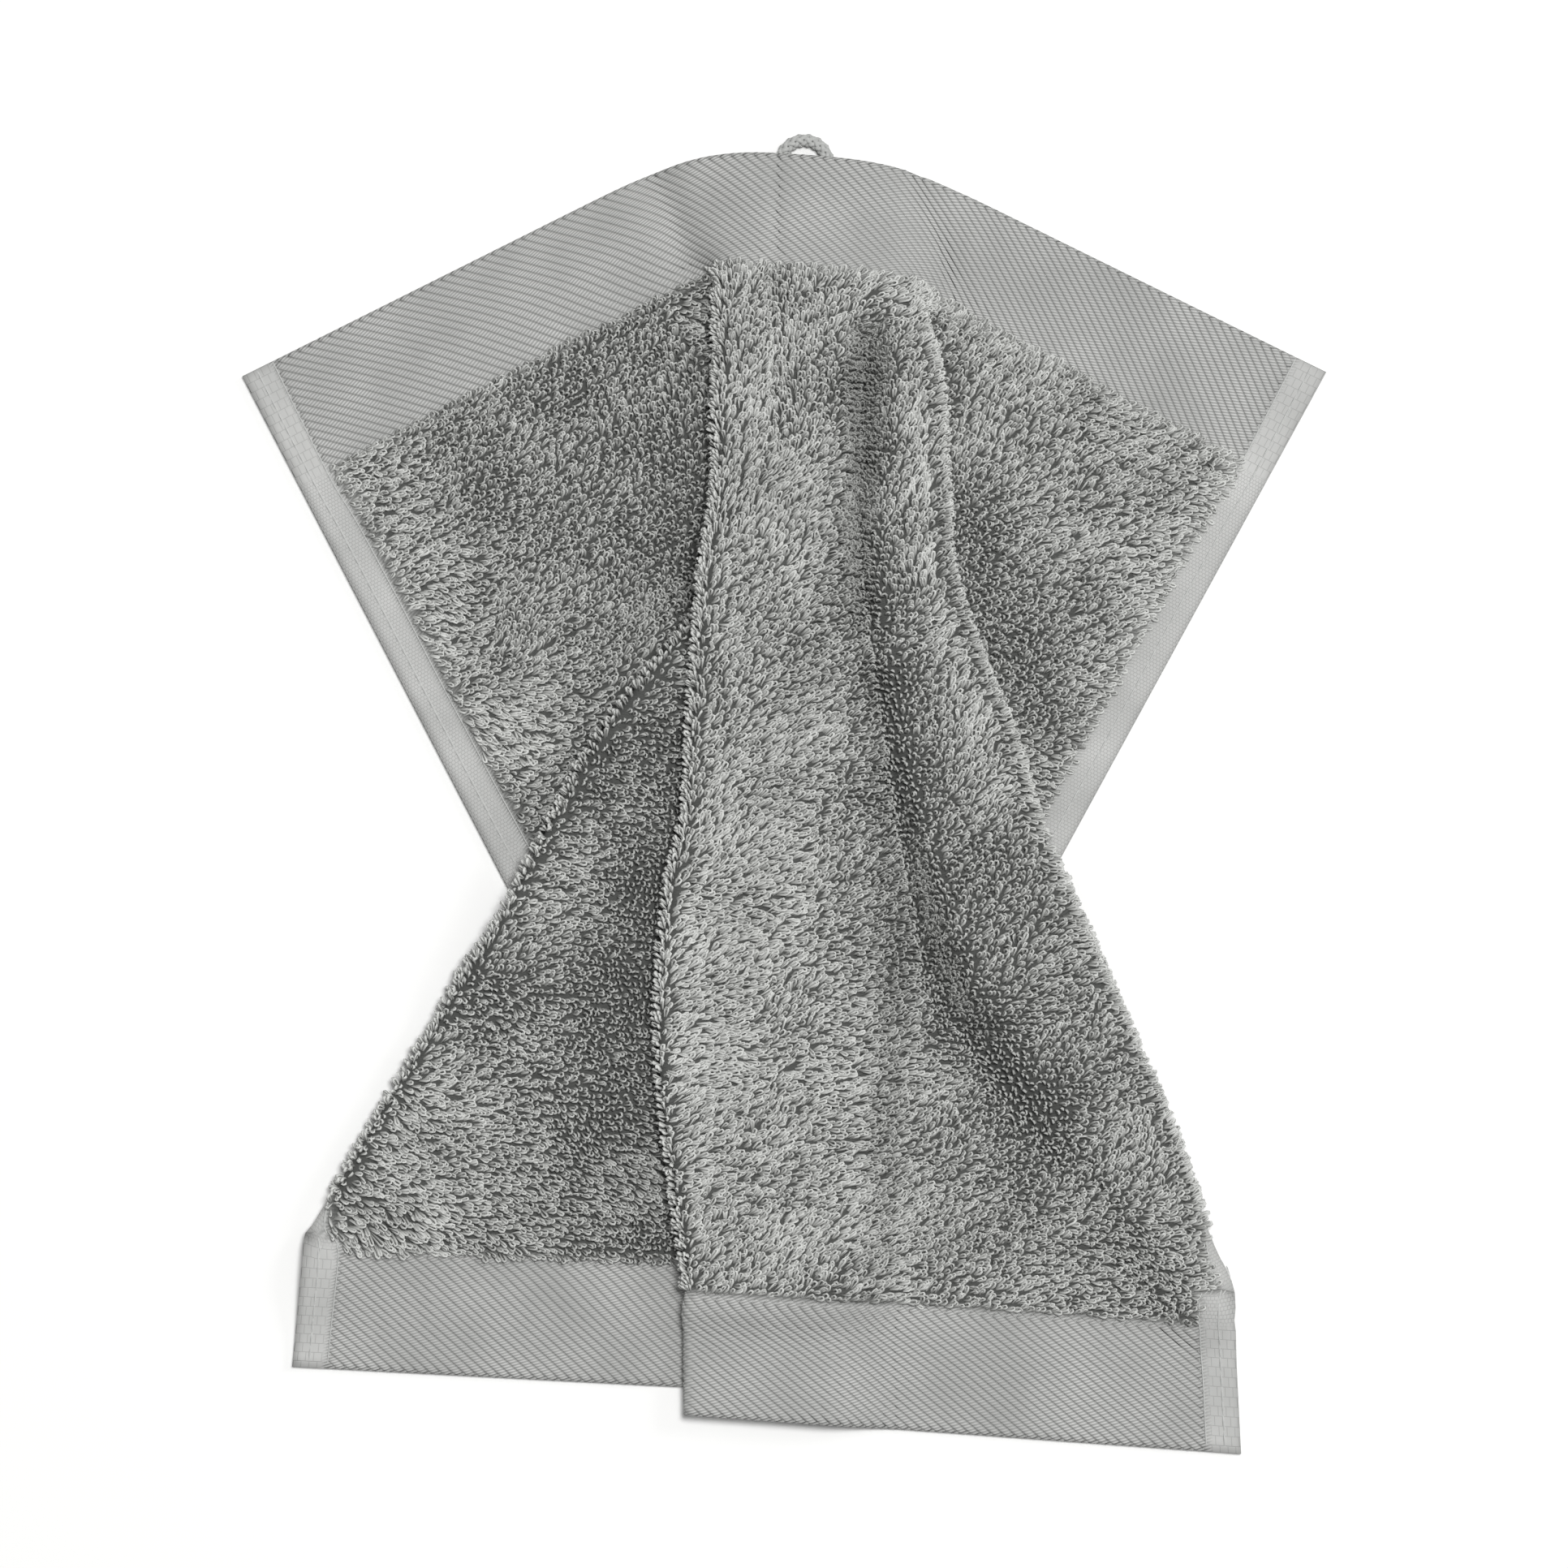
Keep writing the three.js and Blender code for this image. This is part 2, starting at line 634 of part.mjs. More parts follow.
// The hanging loop: a twisted cord bent to an arch, its two legs sewn flat behind the top hem
function loopGeometry() {
  const sides = 12;
  const arch = 20;
  const legSteps = 3;
  const route = [];
  for (let k = 0; k < legSteps; k += 1) {
    route.push({ x: -loopRadius, y: mix(-loopLegLength, 0, k / legSteps), angle: Math.PI });
  }
  for (let k = 0; k <= arch; k += 1) {
    const angle = Math.PI * (1 - k / arch);
    route.push({ x: loopRadius * Math.cos(angle), y: loopRadius * Math.sin(angle), angle });
  }
  for (let k = 1; k <= legSteps; k += 1) {
    route.push({ x: loopRadius, y: mix(0, -loopLegLength, k / legSteps), angle: 0 });
  }
  const positions = [];
  let travelled = 0;
  route.forEach((stop, k) => {
    if (k > 0) travelled += Math.hypot(stop.x - route[k - 1].x, stop.y - route[k - 1].y);
    const twist = (2 * Math.PI * travelled) / loopTwistPitch;
    for (let side = 0; side < sides; side += 1) {
      const around = (2 * Math.PI * side) / sides;
      const ridge = loopStrandDepth * (Math.cos(loopStrands * (around - twist)) - 1);
      const radius = loopCord / 2 + ridge;
      const outward = radius * Math.cos(around);
      positions.push(
        loopMiddle.x + stop.x + outward * Math.cos(stop.angle),
        loopMiddle.y + stop.y + outward * Math.sin(stop.angle),
        loopMiddle.z + radius * Math.sin(around),
      );
    }
  });
  const faces = [];
  for (let k = 0; k < route.length - 1; k += 1) {
    for (let side = 0; side < sides; side += 1) {
      const next = (side + 1) % sides;
      const [a, b] = [k * sides + side, k * sides + next];
      const [c, d] = [a + sides, b + sides];
      faces.push(a, b, c, b, d, c);
    }
  }
  const last = (route.length - 1) * sides;
  for (let side = 1; side < sides - 1; side += 1) {
    faces.push(0, side + 1, side, last, last + side, last + side + 1);
  }
  const geometry = new THREE.BufferGeometry();
  geometry.setAttribute("position", new THREE.Float32BufferAttribute(positions, 3));
  geometry.setIndex(faces);
  geometry.computeVertexNormals();
  return geometry;
}

function piece(name, geometry, color) {
  const material = new THREE.MeshStandardMaterial({ color, roughness: 0.95, metalness: 0 });
  const mesh = new THREE.Mesh(geometry, material);
  mesh.name = name;
  return mesh;
}

const washcloth = new THREE.Group();
washcloth.add(piece("washcloth", clothGeometry(), clothGrey));
washcloth.add(piece("hanging_loop", loopGeometry(), loopGrey));

export default washcloth;
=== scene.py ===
# A grey cotton terry washcloth with woven bands, lying in loose pleats, seen from straight above.
import math
import bpy
import numpy as np
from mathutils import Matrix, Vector
from mathutils.bvhtree import BVHTree


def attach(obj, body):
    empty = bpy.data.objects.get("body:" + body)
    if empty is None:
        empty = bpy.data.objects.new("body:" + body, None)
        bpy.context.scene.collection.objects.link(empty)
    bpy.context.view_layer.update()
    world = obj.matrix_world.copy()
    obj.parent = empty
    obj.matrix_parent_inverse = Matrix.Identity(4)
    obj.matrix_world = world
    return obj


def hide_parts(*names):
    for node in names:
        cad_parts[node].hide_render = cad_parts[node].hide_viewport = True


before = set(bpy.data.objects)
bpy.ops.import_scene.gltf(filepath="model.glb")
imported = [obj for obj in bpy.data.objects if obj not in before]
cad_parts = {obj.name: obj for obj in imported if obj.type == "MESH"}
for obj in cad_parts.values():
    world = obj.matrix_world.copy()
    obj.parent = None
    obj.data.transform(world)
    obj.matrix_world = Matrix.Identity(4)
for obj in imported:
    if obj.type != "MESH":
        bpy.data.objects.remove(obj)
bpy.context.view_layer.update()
MM = 0.001

# The camera hangs over the middle of the cloth with a long lens, so the pleats show no perspective. The width
# that it sees is the width of the picture at the height of the cloth.
seen_width = 376.7 * MM
seen_middle = (-0.1 * MM, 2.3 * MM)
camera_height = 2500 * MM
cloth_level = 8 * MM
sensor_width = 36
camera_data = bpy.data.cameras.new("camera")
camera_data.sensor_width = sensor_width
camera_data.lens = sensor_width * (camera_height - cloth_level) / seen_width
camera_data.clip_end = 20
camera = bpy.data.objects.new("camera", camera_data)
camera.location = (*seen_middle, camera_height)
bpy.context.collection.objects.link(camera)
bpy.context.scene.camera = camera


def linear(hex_colour):
    """An sRGB hex colour as linear red, green, blue and alpha."""
    parts = [int(hex_colour[k : k + 2], 16) / 255 for k in (1, 3, 5)]
    return (*[c / 12.92 if c <= 0.04045 else ((c + 0.055) / 1.055) ** 2.4 for c in parts], 1)


def add(tree, kind, links=(), **settings):
    """Adds a node. A setting is one of its properties, or else the value of an input. The links are pairs of
    an input and the socket that it reads."""
    node = tree.nodes.new(kind)
    for name, value in settings.items():
        if hasattr(node, name):
            setattr(node, name, value)
        else:
            node.inputs[name.replace("_", " ")].default_value = value
    for name, socket in links:
        tree.links.new(socket, node.inputs[name])
    return node


def material(name, roughness):
    """A new material of one rough surface, with its node tree and its shader."""
    made = bpy.data.materials.new(name)
    made.use_nodes = True
    made.node_tree.nodes.clear()
    shader = add(made.node_tree, "ShaderNodeBsdfPrincipled", Roughness=roughness)
    add(made.node_tree, "ShaderNodeOutputMaterial", [("Surface", shader.outputs["BSDF"])])
    return made, made.node_tree, shader


def add_object(name, mesh):
    """A new object that shows the mesh. It stands at the origin, so that the mesh holds its place."""
    made = bpy.data.objects.new(name, mesh)
    bpy.context.collection.objects.link(made)
    return made


# The floor is a plain white studio sheet. A large softbox hangs above it, a weak one stands to the right, and
# a pale sky fills in, so the lamps darken the cloth only where its folds drop away or meet what they lie on.
floor_half = 3.0
floor_mesh = bpy.data.meshes.new("floor")
corners = [(-floor_half, -floor_half, 0), (floor_half, -floor_half, 0), (floor_half, floor_half, 0)]
floor_mesh.from_pydata([*corners, (-floor_half, floor_half, 0)], [], [(0, 1, 2, 3)])
floor = add_object("floor", floor_mesh)
paper, _, shader = material("white studio paper", 0.9)
shader.inputs["Base Color"].default_value = linear("#f4f4f3")
floor_mesh.materials.append(paper)

softbox_width = 0.8
for name, place, power in [("overhead softbox", (0.35, 0.45, 2.9), 76), ("side softbox", (1.9, 0.9, 1.5), 9)]:
    light_data = bpy.data.lights.new(name, "AREA")
    light_data.size = softbox_width
    light_data.energy = power
    light = bpy.data.objects.new(name, light_data)
    light.location = place
    light.rotation_euler = Vector(place).to_track_quat("Z", "Y").to_euler()
    bpy.context.collection.objects.link(light)
sky = bpy.data.worlds.new("pale sky")
sky.use_nodes = True
sky.node_tree.nodes["Background"].inputs["Color"].default_value = linear("#ffffff")
sky.node_tree.nodes["Background"].inputs["Strength"].default_value = 0.25
bpy.context.scene.world = sky
bpy.context.scene.view_settings.view_transform = "Standard"

# The cloth is one square of cotton terry, woven with a flat twill band at its top and bottom ends, its sides
# turned and stitched as hems. It is laid in three pleats that meet at the top hem. Its shape is worked out
# row by row: "down" is a distance along the flat cloth from its top hem, and all of these sizes are in mm.
flat_width = 290
flat_length = 312
band_height = 29
hem_width = 8.5
hem_thickness = 1.9
band_thickness = 1.5
ground_thickness = 1.2
lying_thickness = 3.4
hem_middle = 1.0
layer_pitch = 4.8
band_layer_pitch = 2.8
bands_close = (-131, -121.5)
top_hem_lift = 3.8
top_comes_down = (124, 148)
thickness_step = 2.2
hem_step = 0.5
floor_clearance = 0.02
row_pitch = 3.0

# Each fold and hem as places that it passes: the distance down the flat cloth, and x and y as it lies
place_row = [("down", float), ("x", float), ("y", float)]
left_edge = np.array(
    [(0, -130.5, 100.5), (195.5, -40.5, -73), (279.5, -112, -106), (287.5, -116, -114), (312, -118.5, -138)],
    place_row,
)
right_edge = np.array(
    [(0, 130.5, 101.5), (165.5, 51, -44), (274, 105, -119.5), (283, 108.5, -129), (312, 110, -159)],
    place_row,
)
left_valley = np.array(
    [(93.5, -5, 62), (105.5, -8, 54), (129, -18, 13.5), (157, -27.5, -23), (177.5, -34.5, -49.5)]
    + [(195.5, -40.5, -73)],
    place_row,
)
left_mountain = np.array(
    [(93.5, 1.5, 65.5), (105.5, -8, 54), (129, -19, 40.5), (157, -41.5, 13), (177.5, -52.5, -6.5)]
    + [(207.5, -68, -35.5), (237.5, -86.5, -65), (269.5, -105, -96), (279.5, -111, -106)],
    place_row,
)
centre_valley = np.array(
    [(0, -32.5, 149.5), (15.5, -26, 139), (23.5, -21, 132), (30, -15.5, 126), (46, -7, 112.5)]
    + [(61, -0.5, 99), (75.5, 4.5, 85.5), (109, 8, 54), (136, 10.5, 31.5), (172, 11.5, -4.5)]
    + [(211, 10.5, -43.5), (269.5, 8, -102), (312, 6, -144.5)],
    place_row,
)
centre_mountain = np.array(
    [(0, -17, 155), (15.5, -16.5, 139.5), (30, -15.5, 126), (44, -13, 112.5), (64, -13.5, 93)]
    + [(84, -13.5, 73.5), (104, -16.5, 54), (144, -19.5, 15), (164, -20.5, -4.5), (184.5, -25, -24)]
    + [(224.5, -27, -63), (264.5, -22.5, -102), (281, -20.5, -118.5), (288.5, -22, -126), (312, -22, -149.5)],
    place_row,
)
right_mountain = np.array(
    [(0, 23, 152.5), (19.5, 26, 133.5), (30, 29, 123.5), (39, 31.5, 112.5), (60, 34.5, 93), (80, 35.5, 73.5)]
    + [(100, 37, 54), (120.5, 43.5, 33), (140, 51.5, 13.5), (163.5, 59, -10), (204, 76.5, -50.5)]
    + [(231, 88.5, -78), (262, 100, -109), (274, 105, -119.5)],
    place_row,
)
right_valley = np.array(
    [(0, 36, 148), (19.5, 37.5, 127.5), (30, 36, 118), (39, 31.5, 112.5), (53, 31, 93), (71.5, 28.5, 73.5)]
    + [(89.5, 27, 54), (113, 32, 25), (136, 38.5, -4.5), (165.5, 51, -44)],
    place_row,
)
# Below the top hem the front panel bridges from pleat to pleat, inside this outline
bridge = [(-22, 162), (-18, 117), (-18.5, 77), (-22, 48), (12, 54), (12.5, 97), (13.5, 112.5), (23, 116.5)]
bridge += [(28.5, 122.5), (26, 133.5), (23, 160)]

# How far down the pleats close, and how far down each fold runs out at its side hem
left_pleat_start = 93.5
left_pleat_closed = 105.5
left_valley_end = 195.5
left_mountain_end = 279.5
centre_pleat_closed = 30
right_pleat_closed = 39
right_valley_end = 165.5
right_mountain_end = 274
fold_in_length = 14
hem_unroll_length = 9

# How far a panel takes to come down from the layers under it. The trough beside the right pleat has a slope
# on each side, given where it is wide, low on the cloth, and where it is narrow, near the top.
under_slope = 12
left_under_slope = 16
left_front_slope = 26
trough_left_slope = (18, 8)
trough_right_slope = (13, 9)
trough_widens = (-10, 60)
bridge_slope = 6
fold_clearance = 0.2


def smooth(low, high, value):
    """A smooth rise from 0 at the low value to 1 at the high one."""
    share = np.clip((value - low) / (high - low), 0, 1)
    return share * share * (3 - 2 * share)


def mix(start, end, share):
    return start + (end - start) * share


def straight_along(line, down):
    """Places on a line of straight stretches, at distances down the cloth."""
    return np.stack([np.interp(down, line["down"], line[name]) for name in "xy"], -1)


def smooth_along(line, down):
    """Places on a smooth curve through a line's rows, at distances down the cloth."""
    knots = line["down"]
    index = np.searchsorted(knots[1:-1], down, side="left")
    span = knots[index + 1] - knots[index]
    share = np.clip((down - knots[index]) / span, 0, 1)
    places = []
    for name in "xy":
        values = line[name]
        before, after = values[index], values[index + 1]
        slopes = np.gradient(values, knots)
        slopes[1:-1] = (values[2:] - values[:-2]) / (knots[2:] - knots[:-2])
        start = (1 + 2 * share) * (1 - share) ** 2 * before + share * (1 - share) ** 2 * span * slopes[index]
        end = share**2 * (3 - 2 * share) * after - share**2 * (1 - share) * span * slopes[index + 1]
        places.append(start + end)
    return np.stack(places, -1)


def distance_outside(outline, spots):
    """How far each spot lies outside a closed outline, and 0 inside it."""
    start = np.asarray(outline, float)
    end = np.roll(start, -1, axis=0)
    side = end - start
    nearest = np.full(spots.shape[:-1], np.inf)
    inside = np.zeros(spots.shape[:-1], bool)
    for a, d in zip(start, side):
        along = np.clip(((spots - a) @ d) / max(d @ d, 1e-9), 0, 1)
        nearest = np.minimum(nearest, np.hypot(*np.moveaxis(a + along[..., None] * d - spots, -1, 0)))
        if abs(d[1]) > 1e-9:
            crosses = (a[1] > spots[..., 1]) != (a[1] + d[1] > spots[..., 1])
            inside ^= crosses & (spots[..., 0] < a[0] + (spots[..., 1] - a[1]) / d[1] * d[0])
    return np.where(inside, 0, nearest)


def fold_then_hem(fold, fold_end, hem, down):
    """Places on a fold line, and past the fold's end on the hem that it has run out at."""
    return np.where((down >= fold_end)[:, None], straight_along(hem, down), smooth_along(fold, down))


def between(start, end, left_side, right_side):
    """The outline of a layer: down its left side and back up its right one."""
    outline_step = 6
    down = np.linspace(start, end, math.ceil((end - start) / outline_step) + 1)
    return np.concatenate([left_side(down), right_side(down)[::-1]])


plan = {
    "left back": between(
        left_pleat_closed,
        left_valley_end,
        lambda down: straight_along(left_edge, down),
        lambda down: smooth_along(left_valley, down),
    ),
    "left under": between(
        left_pleat_closed,
        left_mountain_end,
        lambda down: smooth_along(left_mountain, down),
        lambda down: fold_then_hem(left_valley, left_valley_end, left_edge, down),
    ),
    "centre under": between(
        centre_pleat_closed,
        flat_length,
        lambda down: smooth_along(centre_mountain, down),
        lambda down: smooth_along(centre_valley, down),
    ),
    "right back": between(
        right_pleat_closed,
        right_valley_end,
        lambda down: smooth_along(right_valley, down),
        lambda down: straight_along(right_edge, down),
    ),
    "right under": between(
        right_pleat_closed,
        right_mountain_end,
        lambda down: smooth_along(right_mountain, down),
        lambda down: fold_then_hem(right_valley, right_valley_end, right_edge, down),
    ),
    "bridge": bridge,
}
fold_reach = (layer_pitch + lying_thickness) / 2 + fold_clearance


def cover(name, spots, slope):
    """How much a layer lifts what is over it: 1 on the layer and its folds, 0 past the slope beside them."""
    return 1 - smooth(fold_reach, fold_reach + slope, distance_outside(plan[name], spots))


def pitch_at(spots):
    return mix(band_layer_pitch, layer_pitch, smooth(*bands_close, spots[..., 1]))


# The height of each layer's underside over the floor
def floor_height(spots):
    return np.zeros(spots.shape[:-1])


def left_under_height(spots):
    return layer_pitch * cover("left back", spots, left_under_slope)


def left_front_height(spots):
    covers = cover("left back", spots, left_front_slope) + cover("left under", spots, left_front_slope)
    return layer_pitch * covers


def centre_under_height(spots):
    return left_front_height(spots) + pitch_at(spots) * cover("centre under", spots, under_slope)


def right_under_height(spots):
    return layer_pitch * cover("right back", spots, under_slope)


def front_height(spots):
    widened = smooth(*trough_widens, spots[..., 1])
    slope = mix(*trough_left_slope, widened)
    left = left_front_height(spots) + 2 * pitch_at(spots) * cover("centre under", spots, slope)
    slope = mix(*trough_right_slope, widened)
    right = cover("right back", spots, slope) + cover("right under", spots, slope)
    lift = mix(2 * layer_pitch, top_hem_lift, smooth(*top_comes_down, spots[..., 1]))
    bridged = 1 - smooth(0, bridge_slope, distance_outside(plan["bridge"], spots))
    return np.hypot(np.maximum(left, lift * bridged), layer_pitch * right)


def normal_of(line, downs, row_direction):
    """The direction across a fold line, on the side of the row's direction."""
    reach = 2
    middle = np.clip(downs, line["down"][0] + reach, line["down"][-1] - reach)
    ahead = smooth_along(line, middle + reach) - smooth_along(line, middle - reach)
    normal = np.stack([ahead[:, 1], -ahead[:, 0]], -1)
    normal /= np.linalg.norm(normal, axis=1, keepdims=True)
    return normal * np.sign(normal @ row_direction)[:, None]


def lift(spots, height):
    """Points over the spots, at the height there of a layer's underside."""
    return np.concatenate([spots, height(spots)[..., None]], -1)


def fold_points(pleat, fold, downs, places, turn, folded):
    """Points of a fold, at turns from 0, face up, to pi, face down: one row of turns for each down. A valley
    fold turns up from the layer below it, and a mountain fold turns down from the layer above it."""
    side = 1 if fold == "valley" else -1
    outer = pleat["lower"] if fold == "valley" else pleat["upper"]
    radius = side * (pleat["middle"](places) - outer(places)) / 2
    across = mix(pleat["row"], normal_of(pleat[fold], downs, pleat["row"]), folded[:, None])
    across /= np.linalg.norm(across, axis=1, keepdims=True)
    spots = places[:, None] + side * across[:, None] * (radius[:, None] * np.sin(turn))[..., None]
    points = lift(spots, outer)
    points[..., 2] += side * radius[:, None] * (1 - np.cos(turn))
    return points


def open_pleat_points(pleat, lower, upper, steps):
    """An S-shaped slope from one layer up to the next."""
    low = pleat["lower"](lower)
    height = np.maximum(pleat["upper"](upper) - low, 0.01)
    run = np.linalg.norm(upper - lower, axis=1)
    across = (upper - lower) / np.maximum(run, 1e-6)[:, None]
    bend = 2 * np.arctan2(height, np.maximum(run, 1e-6))
    radius = height / (2 * (1 - np.cos(bend)))
    share = np.linspace(0, 1, steps + 1)[None]
    turn = 2 * bend[:, None] * np.minimum(share, 1 - share)
    reach = radius[:, None] * np.sin(turn)
    rise = radius[:, None] * (1 - np.cos(turn))
    first = share < 0.5
    start = np.where(first[..., None], lower[:, None], upper[:, None])
    spots = start + across[:, None] * np.where(first, reach, -reach)[..., None]
    heights = low[:, None] + np.where(first, rise, height[:, None] - rise)
    return np.concatenate([spots, heights[..., None]], -1)


def pleat_points(pleat, downs, lower, upper):
    """Points of a pleat from its valley fold to its mountain fold, one row for each down."""
    valley_steps, layer_steps, mountain_steps = pleat["steps"]
    steps = valley_steps + layer_steps + mountain_steps
    folded = smooth(pleat["closed"], pleat["closed"] + fold_in_length, downs)
    valley_radius = (pleat["middle"](lower) - pleat["lower"](lower)) / 2
    mountain_radius = (pleat["upper"](upper) - pleat["middle"](upper)) / 2
    valley_length = (math.pi * valley_radius)[:, None]
    layer_length = np.linalg.norm(upper - lower, axis=1)[:, None]
    mountain_length = (math.pi * mountain_radius)[:, None]
    length = valley_length + layer_length + mountain_length
    k = np.arange(steps + 1)[None]
    settled = valley_length * np.minimum(k, valley_steps) / valley_steps
    settled = settled + layer_length * np.clip(k - valley_steps, 0, layer_steps) / layer_steps
    settled = settled + mountain_length * np.maximum(k - valley_steps - layer_steps, 0) / mountain_steps
    travelled = mix(length * k / steps, settled, folded[:, None])
    valley_turn = np.clip(travelled / np.maximum(valley_radius, 1e-6)[:, None], 0, math.pi)
    mountain_turn = np.clip((length - travelled) / np.maximum(mountain_radius, 1e-6)[:, None], 0, math.pi)
    share = np.clip((travelled - valley_length) / np.maximum(layer_length, 1e-6), 0, 1)
    layer = lift(mix(lower[:, None], upper[:, None], share[..., None]), pleat["middle"])
    points = np.where(
        (travelled <= valley_length)[..., None],
        fold_points(pleat, "valley", downs, lower, valley_turn, folded),
        np.where(
            (travelled < valley_length + layer_length)[..., None],
            layer,
            fold_points(pleat, "mountain", downs, upper, mountain_turn, folded),
        ),
    )
    opened = (downs < pleat["closed"])[:, None, None]
    return np.where(opened, open_pleat_points(pleat, lower, upper, steps), points)


# Each pleat has two fold lines, the heights of its three layers, the direction in which the cloth's rows run
# across it and the distance down at which it has closed. Its steps are the columns of the sheet in its valley
# fold, its hidden layer and its mountain fold.
pleat_steps = (8, 8, 12)
left_pleat = {
    "valley": left_valley,
    "mountain": left_mountain,
    "lower": floor_height,
    "middle": left_under_height,
    "upper": left_front_height,
    "row": np.array([0.888, 0.46]),
    "closed": left_pleat_closed,
    "steps": pleat_steps,
}
centre_pleat = {
    "valley": centre_valley,
    "mountain": centre_mountain,
    "lower": left_front_height,
    "middle": centre_under_height,
    "upper": front_height,
    "row": np.array([1.0, 0.0]),
    "closed": centre_pleat_closed,
    "steps": pleat_steps,
}
right_pleat = {
    "valley": right_valley,
    "mountain": right_mountain,
    "lower": floor_height,
    "middle": right_under_height,
    "upper": front_height,
    "row": np.array([-0.888, 0.46]),
    "closed": right_pleat_closed,
    "steps": pleat_steps,
}

# Columns of the sheet in and beside a side hem, as distances from its edge. On a narrow panel they close up,
# to take at most this share of it.
hem_places = np.array([2.2, 4.4, 6.6, 8.5, 9.7])
widest_hem_share = 0.5


def hem_shares(width, count):
    """Shares across each panel that begins at a hem: a few close together in the hem, then evenly on."""
    width = np.maximum(width, 1e-6)[:, None]
    places = len(hem_places)
    hem = np.minimum(hem_places / width, widest_hem_share * np.arange(1, places + 1) / (places + 1))
    rest = np.arange(1, count - places + 1) / (count - places + 1)
    return np.concatenate([hem, mix(hem[:, -1:], 1, rest[None])], 1)


def panel(start, end, height, shares):
    return lift(mix(start[:, None], end[:, None], shares[..., None]), height)


# The sheet has this many columns on each panel, and rows at each stop on the way down and evenly between. The
# stops are where the cloth gets thinner or thicker, or where a pleat or a fold starts or ends.
back_points = 26
front_left_points = 26
front_points = 44
row_before_fold_end = 0.8
row_after_valley_end = 2
row_after_mountain_end = 1.5
stops = [0, band_height, band_height + thickness_step, left_pleat_start, left_pleat_closed]
for fold_end in (right_valley_end, left_valley_end):
    stops += [fold_end - row_before_fold_end, fold_end + row_after_valley_end]
stops += [right_mountain_end - row_before_fold_end, right_mountain_end + row_after_mountain_end]
stops += [left_mountain_end - row_before_fold_end]
stops += [flat_length - band_height - thickness_step, flat_length - band_height, flat_length]
downs = [
    np.linspace(start, end, max(1, round((end - start) / row_pitch)), endpoint=False)
    for start, end in zip(stops, stops[1:])
]
downs = np.append(np.concatenate(downs), flat_length)

left = straight_along(left_edge, downs)
right = straight_along(right_edge, downs)
centre_low = smooth_along(centre_valley, downs)
centre_high = smooth_along(centre_mountain, downs)

# Above the left pleat its columns lie flat, at these shares of the way from the hem to the centre pleat
flat_low = 0.875
flat_high = 0.945
flat_above = (downs < left_pleat_start)[:, None]
left_low = np.where(flat_above, mix(left, centre_low, flat_low), smooth_along(left_valley, downs))
left_high = np.where(flat_above, mix(left, centre_low, flat_high), smooth_along(left_mountain, downs))
right_low = smooth_along(right_valley, downs)
right_high = smooth_along(right_mountain, downs)
has_left_mountain = downs < left_mountain_end
has_right_mountain = downs < right_mountain_end
fully_folded = np.ones(len(downs))


def even_shares(count):
    return np.tile(np.arange(1, count + 1) / (count + 1), (len(downs), 1))


def width_of(start, end):
    return np.linalg.norm(end - start, axis=1)


def side_blocks(pleat, edge, low, high, valley_end, mountain_end):
    """The back panel and the pleat of one side, from its hem in to its mountain fold. Columns of a fold that
    has run out at the hem have no place, but for the one that the hem then lies on."""
    valley_steps, layer_steps, mountain_steps = pleat["steps"]
    back = panel(edge, low, floor_height, hem_shares(width_of(edge, low), back_points))
    back = np.concatenate([lift(edge, floor_height)[:, None], back], 1)
    folds = pleat_points(pleat, downs, low, high)
    turn_down = mix(math.pi / 2, math.pi, smooth(0, hem_unroll_length, downs - valley_end))[:, None]
    hem_under = fold_points(pleat, "valley", downs, edge, turn_down, fully_folded)
    shares = np.tile(np.arange(1, layer_steps) / layer_steps, (len(downs), 1))
    under = panel(edge, high, pleat["middle"], shares)
    round_turns = np.tile(math.pi * (1 - np.arange(mountain_steps + 1) / mountain_steps), (len(downs), 1))
    mountain = fold_points(pleat, "mountain", downs, high, round_turns, fully_folded)
    past_valley = np.full_like(folds, np.nan)
    past_valley[:, valley_steps:] = np.concatenate([hem_under, under, mountain], 1)
    turn_up = mix(math.pi / 2, 0, smooth(0, hem_unroll_length, downs - mountain_end))[:, None]
    past_mountain = np.full_like(folds, np.nan)
    past_mountain[:, -1:] = fold_points(pleat, "mountain", downs, edge, turn_up, fully_folded)
    has_valley = downs < valley_end
    has_mountain = (downs < mountain_end)[:, None, None]
    folds = np.where(has_valley[:, None, None], folds, np.where(has_mountain, past_valley, past_mountain))
    back[~has_valley] = np.nan
    return back, folds


left_ends = (left_valley_end, left_mountain_end)
left_back, left_folds = side_blocks(left_pleat, left, left_low, left_high, *left_ends)
right_ends = (right_valley_end, right_mountain_end)
right_back, right_folds = side_blocks(right_pleat, right, right_low, right_high, *right_ends)
left_front = np.where(
    has_left_mountain[:, None, None],
    panel(left_high, centre_low, left_front_height, even_shares(front_left_points)),
    panel(left, centre_low, left_front_height, hem_shares(width_of(left, centre_low), front_left_points)),
)
centre_folds = pleat_points(centre_pleat, downs, centre_low, centre_high)
front = np.where(
    has_right_mountain[:, None, None],
    panel(centre_high, right_high, front_height, even_shares(front_points)),
    panel(right, centre_high, front_height, hem_shares(width_of(right, centre_high), front_points))[:, ::-1],
)
blocks = [left_back, left_folds, left_front, centre_folds, front, right_folds[:, ::-1], right_back[:, ::-1]]
block_starts = np.cumsum([0] + [block.shape[1] for block in blocks])
middle = np.concatenate(blocks, 1)
placed = ~np.isnan(middle[..., 0])

